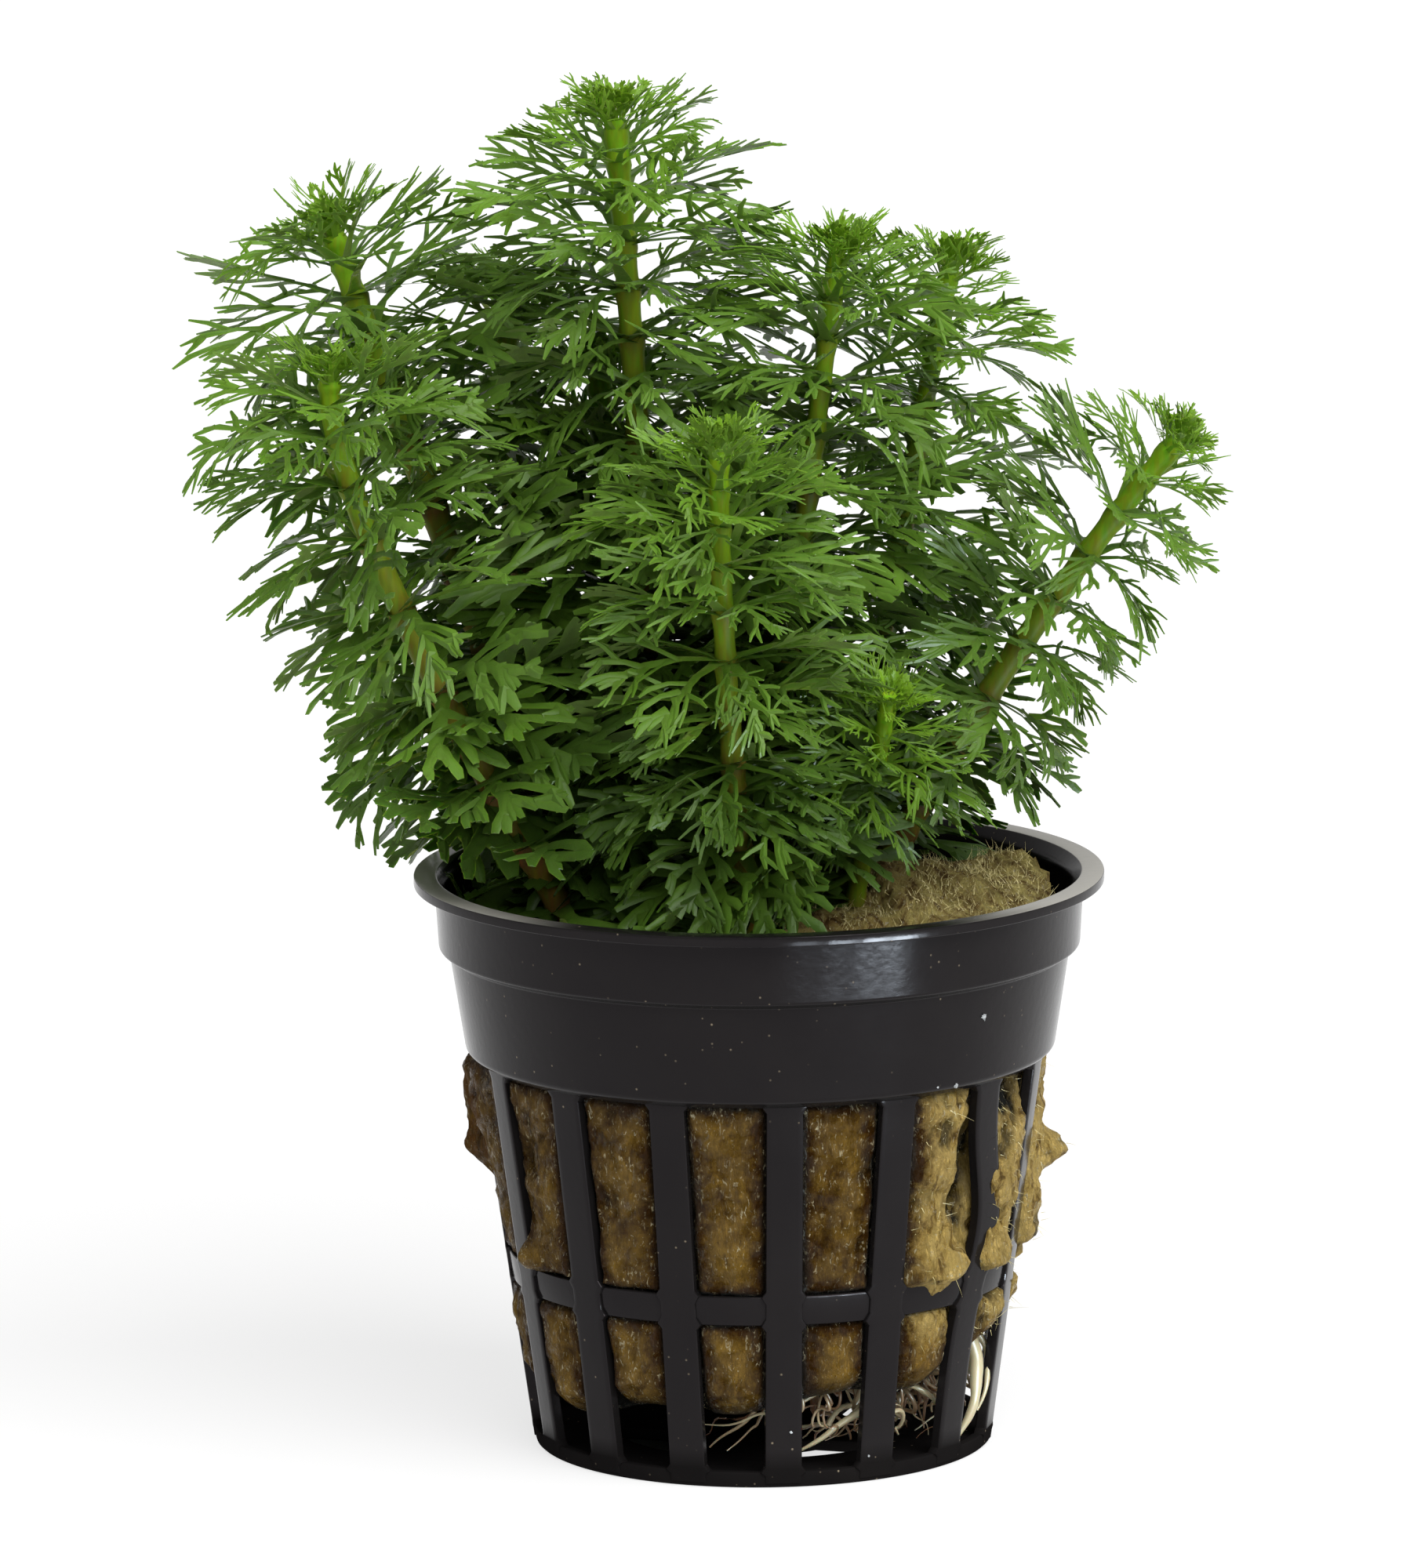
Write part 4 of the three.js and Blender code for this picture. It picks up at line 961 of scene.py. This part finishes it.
def stalk(shoot):
    """The stalk as a tube along its bow, with faint ridges and a swelling at each node."""
    distances, length = whorl_distances(shoot)
    share = np.linspace(0, 0.985, STALK_RINGS)
    path, along = bow(shoot, share)
    below = (1 - share) * length
    nodes = np.exp(-(((below[:, None] - distances[None, :]) / NODE_HALF_HEIGHT) ** 2)).max(1)
    radii = STALK_RADIUS + share * (STALK_TIP_RADIUS - STALK_RADIUS) + NODE_SWELLING * nodes
    radii = radii * STALK_SLIMMER.get(shoot, 1)
    angle = np.arange(STALK_SIDES) / STALK_SIDES * 2 * np.pi
    ridges = 1 + RIDGE_DEPTH * np.cos(STALK_RIDGES * angle)[None, :]
    points, *faces = tube(path, along, radii[:, None] * ridges, STALK_SIDES)
    node_tone = np.concatenate([np.repeat(nodes, STALK_SIDES), nodes[[0, -1]]])
    age_tone = np.concatenate([np.repeat(below, STALK_SIDES), below[[0, -1]]]) / STALK_OLD_AT
    return points, faces, node_tone, np.clip(age_tone, 0, 1)


STALK_FRESH = (0.175, 0.340, 0.010, 1)
STALK_OLD = (0.150, 0.120, 0.015, 1)
NODE_RED = (0.135, 0.060, 0.022, 1)

stalk_skin, stalk_shader, add = new_material("stalk_skin", 0.5)
age = add("ShaderNodeAttribute", attribute_name="age")
stalk_tint = add("ShaderNodeMix", data_type="RGBA", A=STALK_FRESH, B=STALK_OLD, Factor=age.outputs["Fac"])
node_mark = add("ShaderNodeAttribute", attribute_name="node")
node_share = add("ShaderNodeMath", node_mark.outputs["Fac"], age.outputs["Fac"], operation="MULTIPLY")
stalk_node = add("ShaderNodeMix", data_type="RGBA", A=stalk_tint.outputs["Result"], B=NODE_RED,
                 Factor=node_share.outputs[0])
stalk_place = add("ShaderNodeTexCoord")
stalk_stretch = add("ShaderNodeMapping", Vector=stalk_place.outputs["Object"], Scale=(1, 1, 0.2))
stalk_streaks = add("ShaderNodeTexNoise", Vector=stalk_stretch.outputs["Vector"], Scale=2200, Detail=3)
stalk_vary = add("ShaderNodeMix", data_type="RGBA", blend_type="SOFT_LIGHT",
                 A=stalk_node.outputs["Result"], B=stalk_streaks.outputs["Color"], Factor=0.6)
stalk_bump = add("ShaderNodeBump", Height=stalk_streaks.outputs["Fac"], Strength=0.25, Distance=0.0001)
feed(stalk_shader, Base_Color=stalk_vary.outputs["Result"], Normal=stalk_bump.outputs["Normal"],
     Specular_IOR_Level=0.06, Subsurface_Weight=0.15, Subsurface_Radius=(0.6, 1.0, 0.2),
     Subsurface_Scale=0.0006)


# The leaves: thin blades cut almost to the midrib into narrow lobes, in a ring round each node. The
# stalk of each leaf is broad where it meets its neighbours, and long lobes end in two or three teeth.
LEAVES_PER_WHORL = 11
FULLER_WHORLS = {"shoot_tall": 13, "shoot_far_right": 12, "shoot_front": 12, "shoot_middle": 13,
                 "shoot_back_right": 12}
LEAF_LENGTH = 12.6
LEAF_REACH = {"shoot_left": 0.97, "shoot_back_left": 1.08, "shoot_far_right": 0.85, "shoot_back_right": 0.9,
              "shoot_front": 0.9, "shoot_young": 0.7, "shoot_tall": 0.97}
OVERHANG_LOWEST = 42.5
OVERHANG_USUAL = 47.8
OVERHANG_SHARE = 0.12
SHADED_SHORTENING = 0.3
LEAF_FULL_GROWN_AT = 7.8
OLD_LEAF_GROWTH = 0.08
OLD_LEAF_FROM = 22.0
LEAF_THICKNESS = 0.016
CROWN_DISTANCES = (0.1, 0.8, 1.5)
COARSE_FROM = 30.0
BED_RADIUS = 24.3
BED_CLEARANCE = 0.5
RIM_INSIDE = 24.4
RIM_OUTSIDE = 27.8
RIM_CLEARANCE = 0.25
PRESSED_TO = 0.05
OVERHANG_FROM = 26
FLAP_HIGH_FROM = 0.42
FLAP_CLEARANCE = 2.5
LOW_FLAP_CLEARANCE = -1.2


def lobe(start, heading, curl, length, shares, half_widths):
    """A narrow flat lobe with a low ridge: its middle line is an arc that turns by curl over the length.
    Gives middle points, the offsets of the two edges and the ridge from them, quads and end triangles."""
    shares = np.asarray(shares)
    half_widths = np.asarray(half_widths)
    turn = heading + curl * shares
    bend = curl if abs(curl) > 0.01 else 0.01
    turned = heading + bend * shares
    x = start[0] + (np.sin(turned) - math.sin(heading)) / bend * length
    y = start[1] + (math.cos(heading) - np.cos(turned)) / bend * length
    middle = np.stack([x, y, 0 * x], -1)
    edge = np.stack([-np.sin(turn), np.cos(turn), 0 * x], -1) * half_widths[:, None]
    ridge = np.stack([0 * x, 0 * x, LEAF_THICKNESS * (1.15 - 0.6 * shares)], -1)
    offsets = np.stack([edge, ridge, -edge], 1)
    count = len(shares)
    last = 3 * (count - 1)
    ends = np.array([[2, 1, 0], [last, last + 1, last + 2]])
    middles = np.repeat(middle[:, None], 3, 1)
    return middles.reshape(-1, 3), offsets.reshape(-1, 3), grid_faces(count, 3), ends


def leaf_pattern(seed, pairs, stalk_share, lobe_width, lobe_length, spread, untoothed=0.25, bluntness=0.42):
    """One leaf laid flat along +X with length 1, as the joined lobes of its midrib, side lobes and teeth.
    Side lobes are shorter towards both ends, by the square of the way from the longest."""
    random = np.random.default_rng(seed)
    middle_shares = [0, 0.1, stalk_share, (stalk_share + 0.9) / 2, 0.88, 1]
    middle_widths = [0.078, 0.044, 0.032, lobe_width * 1.45, lobe_width * 1.1, lobe_width * 0.45]
    parts = [lobe((0, 0), 0.0, random.uniform(-0.15, 0.15), 1.0, middle_shares, middle_widths)]
    for pair in range(pairs):
        for hand in (1, -1):
            step = (pair + 0.35 + random.uniform(-0.3, 0.3) + 0.12 * hand) / pairs
            at = stalk_share + (0.93 - stalk_share) * step
            reach = lobe_length * max(0.2, 1 - ((at - 0.36) / 0.7) ** 2) ** 0.8 * random.uniform(0.85, 1.12)
            heading = hand * math.radians(spread + 8 - 18 * at + random.uniform(-10, 10))
            curl = -hand * random.uniform(0.1, 0.8)
            start = (at, 0.0)
            width = lobe_width * random.uniform(0.85, 1.1)
            parts.append(lobe(start, heading, curl, reach, [0, 0.34, 0.74, 1],
                              [width * 1.7, width * 0.85, width * 1.05, width * bluntness]))
            if reach > 0.2:
                teeth = [(0.42, hand, 0.50), (0.70, -hand, 0.32)]
            else:
                teeth = [(0.5, hand, 0.42)]
            for share, side, size in teeth:
                if random.random() < untoothed:
                    continue
                share += random.uniform(-0.12, 0.12)
                turned = heading + curl * share
                halfway = heading + curl * share / 2
                place = (at + reach * share * math.cos(halfway), reach * share * math.sin(halfway))
                leaning = side * math.radians(random.uniform(22, 52))
                size = reach * size * random.uniform(0.8, 1.25)
                parts.append(lobe(place, turned + leaning, -side * 0.4, size, [0, 0.55, 1],
                                  [width * 1.1, width * 0.85, width * bluntness]))
    for hand in (1, -1):
        parts.append(lobe((0.80, 0), hand * math.radians(28), -hand * 0.3, 0.21, [0, 0.55, 1],
                          [lobe_width * 1.1, lobe_width * 0.85, lobe_width * 0.38]))
    start, quads, ends = 0, [], []
    for part in parts:
        quads.append(part[2] + start)
        ends.append(part[3] + start)
        start += len(part[0])
    middle = np.concatenate([part[0] for part in parts])
    offsets = np.concatenate([part[1] for part in parts])
    return middle, offsets, np.concatenate(quads), np.concatenate(ends)


FINE_PATTERNS = [leaf_pattern(seed, 3, 0.32, 0.0200, 0.47, 41) for seed in range(8)]
COARSE_PATTERNS = [leaf_pattern(20 + seed, 3, 0.34, 0.0270, 0.50, 48, 0.5, 0.60) for seed in range(6)]
CROWN_PATTERNS = [leaf_pattern(40 + seed, 2, 0.30, 0.050, 0.38, 36) for seed in range(5)]


def bent_leaves(pattern, leaves):
    """Many leaves of one pattern at once. Each midrib starts at its rise and bends down at an even rate, so
    its line is an arc; the blade folds up from it, twists along it, and is carried to its node."""
    middle, offsets, quads, ends = pattern
    flat = middle[None] + offsets[None] * leaves["width"][:, None, None]
    x = flat[..., 0]
    rise, droop = leaves["rise"][:, None], leaves["droop"][:, None]
    slope = rise - droop * x
    out = (np.sin(rise) - np.sin(slope)) / droop
    up = (np.cos(slope) - np.cos(rise)) / droop
    aside = flat[..., 1] + leaves["veer"][:, None] * x**2
    lift = flat[..., 2] + leaves["fold"][:, None] * np.abs(flat[..., 1])
    twist = leaves["twist"][:, None] * x
    aside, lift = aside * np.cos(twist) - lift * np.sin(twist), aside * np.sin(twist) + lift * np.cos(twist)
    out = out - lift * np.sin(slope)
    up = up + lift * np.cos(slope)
    size = leaves["length"][:, None, None]
    points = leaves["root"][:, None] + size * (
        out[..., None] * leaves["outward"][:, None]
        + up[..., None] * leaves["along"][:, None]
        + aside[..., None] * leaves["sideways"][:, None]
    )
    share, depth = flap_place(points[..., 0], points[..., 1])
    before_high_part = (share > FLAP_HIGH_FROM) & (share < 1.3) & (depth < FLAP_DEPTH + 0.5)
    before_low_part = (share > 0.1) & (share <= FLAP_HIGH_FROM) & (depth < 2.5)
    before_flap = (before_high_part | before_low_part) & (depth > -12)
    flap_cleared = FLAP_TOP + np.where(share > FLAP_HIGH_FROM, FLAP_CLEARANCE, LOW_FLAP_CLEARANCE)
    lowest = np.where(leaves["overhangs"], OVERHANG_LOWEST, OVERHANG_USUAL)[:, None]
    below_rim = (np.hypot(points[..., 0], points[..., 1]) > OVERHANG_FROM) & (points[..., 2] < lowest)
    kept = ~((before_flap & (points[..., 2] < flap_cleared)) | below_rim).any(1)
    points = points[kept]
    first = len(middle) * np.arange(len(points))[:, None, None]
    tone = np.broadcast_to(leaves["tone"][kept, None], points.shape[:2])
    low = np.broadcast_to(leaves["low"][kept, None], points.shape[:2])
    leaf_quads = (quads[None] + first).reshape(-1, 4)
    leaf_ends = (ends[None] + first).reshape(-1, 3)
    return points.reshape(-1, 3), leaf_quads, leaf_ends, tone.ravel(), low.ravel()


def held_up(points):
    """Leaves that would sink into the wool or the rim lie on them: what is lower is pressed to a small share
    of its depth. The bed ends at the pot's inside, and the rim falls away steeply on both sides."""
    x, y, z = points.T
    radius = np.hypot(x, y)
    bed = np.where(radius < BED_RADIUS, wool_top_height(x, y) + BED_CLEARANCE, -99)
    fall = 4 * np.clip(RIM_INSIDE - radius, 0, None) + 6 * np.clip(radius - RIM_OUTSIDE, 0, None)
    rim = FLANGE_TOP + RIM_CLEARANCE - fall
    floor_height = np.maximum(bed, rim)
    pressed = floor_height + PRESSED_TO * (z - floor_height)
    return np.stack([x, y, np.where(z < floor_height, pressed, z)], -1)


def shoot_leaves(shoot, seed):
    """All leaves of one shoot: whorls down the stalk, and a crown of small upright ones at the tip."""
    random = np.random.default_rng(seed)
    distances, length = whorl_distances(shoot)
    distances = np.concatenate([CROWN_DISTANCES, distances])
    share = 1 - distances / length
    place, along = bow(shoot, share)
    keep = place[:, 2] > WOOL_TOP + 1.2
    distances, place, along = distances[keep], place[keep], along[keep]
    leaf_count = FULLER_WHORLS.get(shoot, LEAVES_PER_WHORL)
    whorl = np.repeat(np.arange(len(distances)), leaf_count)
    number = np.tile(np.arange(leaf_count), len(distances))
    total = len(whorl)
    below = distances[whorl]
    angle = (number + 0.5 * (whorl % 2) + random.uniform(-0.25, 0.25, total)) / leaf_count * 2 * np.pi
    along = along[whorl]
    side, third = cross_directions(along)
    outward = side * np.cos(angle)[:, None] + third * np.sin(angle)[:, None]
    crown = below < TOP_WHORL_BELOW_TIP - 0.1
    grown = 0.25 + 0.75 * np.clip(below / LEAF_FULL_GROWN_AT, 0, 1)
    grown = np.where(crown, 0.17 + 0.07 * below, grown)
    size = LEAF_LENGTH * grown + OLD_LEAF_GROWTH * np.clip(below - OLD_LEAF_FROM, 0, None)
    size = size * LEAF_REACH.get(shoot, 1) * (1 - SHADED_SHORTENING * np.clip(-1.4 * outward[:, 2], 0, 1))
    droop = np.radians(random.uniform(25, 66, total)) * np.clip(0.5 + below / 22, 0, 1.2)
    rise = np.radians(-5 + 62 * np.exp(-below / 5.6)) + 0.5 * droop
    wide = np.clip(0.9 + below / 110, 0.9, 1.4) * np.where(crown, 1.3, 1.0)
    leaves = {
        "root": place[whorl] + outward * 0.5,
        "along": along,
        "outward": outward,
        "sideways": np.cross(along, outward),
        "length": size * random.uniform(0.84, 1.06, total),
        "rise": rise + random.uniform(-0.30, 0.34, total),
        "droop": droop,
        "veer": random.uniform(-0.3, 0.3, total),
        "fold": random.uniform(-0.15, 0.55, total),
        "twist": random.uniform(-0.9, 0.9, total),
        "width": wide * random.uniform(0.9, 1.15, total),
        "tone": np.clip(np.exp(-below / 5.5) + random.uniform(-0.14, 0.14, total), 0, 1),
        # Painted shade: leaves low on the shoots, near the pot, are darkened as if in shade.
        "low": smooth_step(-place[whorl, 2], -68, -50),
        "overhangs": random.random(total) < OVERHANG_SHARE,
    }
    coarse = ~crown & (below + random.uniform(-8, 8, total) > COARSE_FROM)
    pattern_number = random.integers(0, 1000, total)
    shells = []
    kinds = ((CROWN_PATTERNS, crown), (COARSE_PATTERNS, coarse), (FINE_PATTERNS, ~crown & ~coarse))
    for patterns, wanted in kinds:
        for index, pattern in enumerate(patterns):
            chosen = wanted & (pattern_number % len(patterns) == index)
            if chosen.any():
                shells.append(bent_leaves(pattern, {key: value[chosen] for key, value in leaves.items()}))
    start, faces = 0, []
    for shell in shells:
        faces += [shell[1] + start, shell[2] + start]
        start += len(shell[0])
    points = held_up(np.concatenate([shell[0] for shell in shells]))
    tones = np.concatenate([shell[3] for shell in shells])
    lows = np.concatenate([shell[4] for shell in shells])
    return points, faces, tones, lows


LEAF_OLD = (0.062, 0.130, 0.012, 1)
LEAF_GROWN = (0.104, 0.202, 0.026, 1)
LEAF_YOUNG = (0.165, 0.34, 0.014, 1)
LEAF_UNDERSIDE = (0.15, 0.215, 0.060, 1)
LEAF_PAINTED_SHADE = (0.029, 0.063, 0.008, 1)

leaf_skin, leaf_shader, add = new_material("leaf_skin", 0.42)
tone = add("ShaderNodeAttribute", attribute_name="tone")
low = add("ShaderNodeAttribute", attribute_name="low")
leaf_place = add("ShaderNodeTexCoord")
leaf_noise = add("ShaderNodeTexNoise", Vector=leaf_place.outputs["Object"], Scale=260, Detail=3)
grown_share = add("ShaderNodeMapRange", Value=leaf_noise.outputs["Fac"], From_Min=0.35, From_Max=0.65)
leaf_base = add("ShaderNodeMix", data_type="RGBA", A=LEAF_OLD, B=LEAF_GROWN,
                Factor=grown_share.outputs["Result"])
leaf_facing = add("ShaderNodeNewGeometry")
facing_split = add("ShaderNodeSeparateXYZ", Vector=leaf_facing.outputs["Normal"])
under_share = add("ShaderNodeMapRange", Value=facing_split.outputs["Z"], From_Min=0.1, From_Max=-0.4,
                  To_Max=0.65)
leaf_under = add("ShaderNodeMix", data_type="RGBA", A=leaf_base.outputs["Result"], B=LEAF_UNDERSIDE,
                 Factor=under_share.outputs["Result"])
# Painted shade: the leaves' low share darkens them towards the pot.
painted_shade_share = add("ShaderNodeMath", low.outputs["Fac"], 0.7, operation="MULTIPLY")
leaf_shaded = add("ShaderNodeMix", data_type="RGBA", A=leaf_under.outputs["Result"], B=LEAF_PAINTED_SHADE,
                  Factor=painted_shade_share.outputs[0])
leaf_fresh = add("ShaderNodeMix", data_type="RGBA", A=leaf_shaded.outputs["Result"], B=LEAF_YOUNG,
                 Factor=tone.outputs["Fac"])
leaf_grain = add("ShaderNodeTexNoise", Vector=leaf_place.outputs["Object"], Scale=3500, Detail=2)
leaf_bump = add("ShaderNodeBump", Height=leaf_grain.outputs["Fac"], Strength=0.3, Distance=0.0001)
feed(leaf_shader, Base_Color=leaf_fresh.outputs["Result"], Normal=leaf_bump.outputs["Normal"],
     Specular_IOR_Level=0.22, Subsurface_Weight=0.22, Subsurface_Radius=(0.5, 1.0, 0.15),
     Subsurface_Scale=0.0005)

for seed, shoot in enumerate(SHOOTS):
    points, faces, node_tone, age_tone = stalk(shoot)
    stalk_piece = new_piece(shoot + "_stalk", points, faces, stalk_skin, shoot, 60)
    tone_attribute(stalk_piece, "node", node_tone)
    tone_attribute(stalk_piece, "age", age_tone)
    points, faces, tones, leaf_painted_shade_values = shoot_leaves(shoot, seed)
    leaf_piece = new_piece(shoot + "_leaves", points, faces, leaf_skin, shoot, 60)
    tone_attribute(leaf_piece, "tone", tones)
    tone_attribute(leaf_piece, "low", leaf_painted_shade_values)
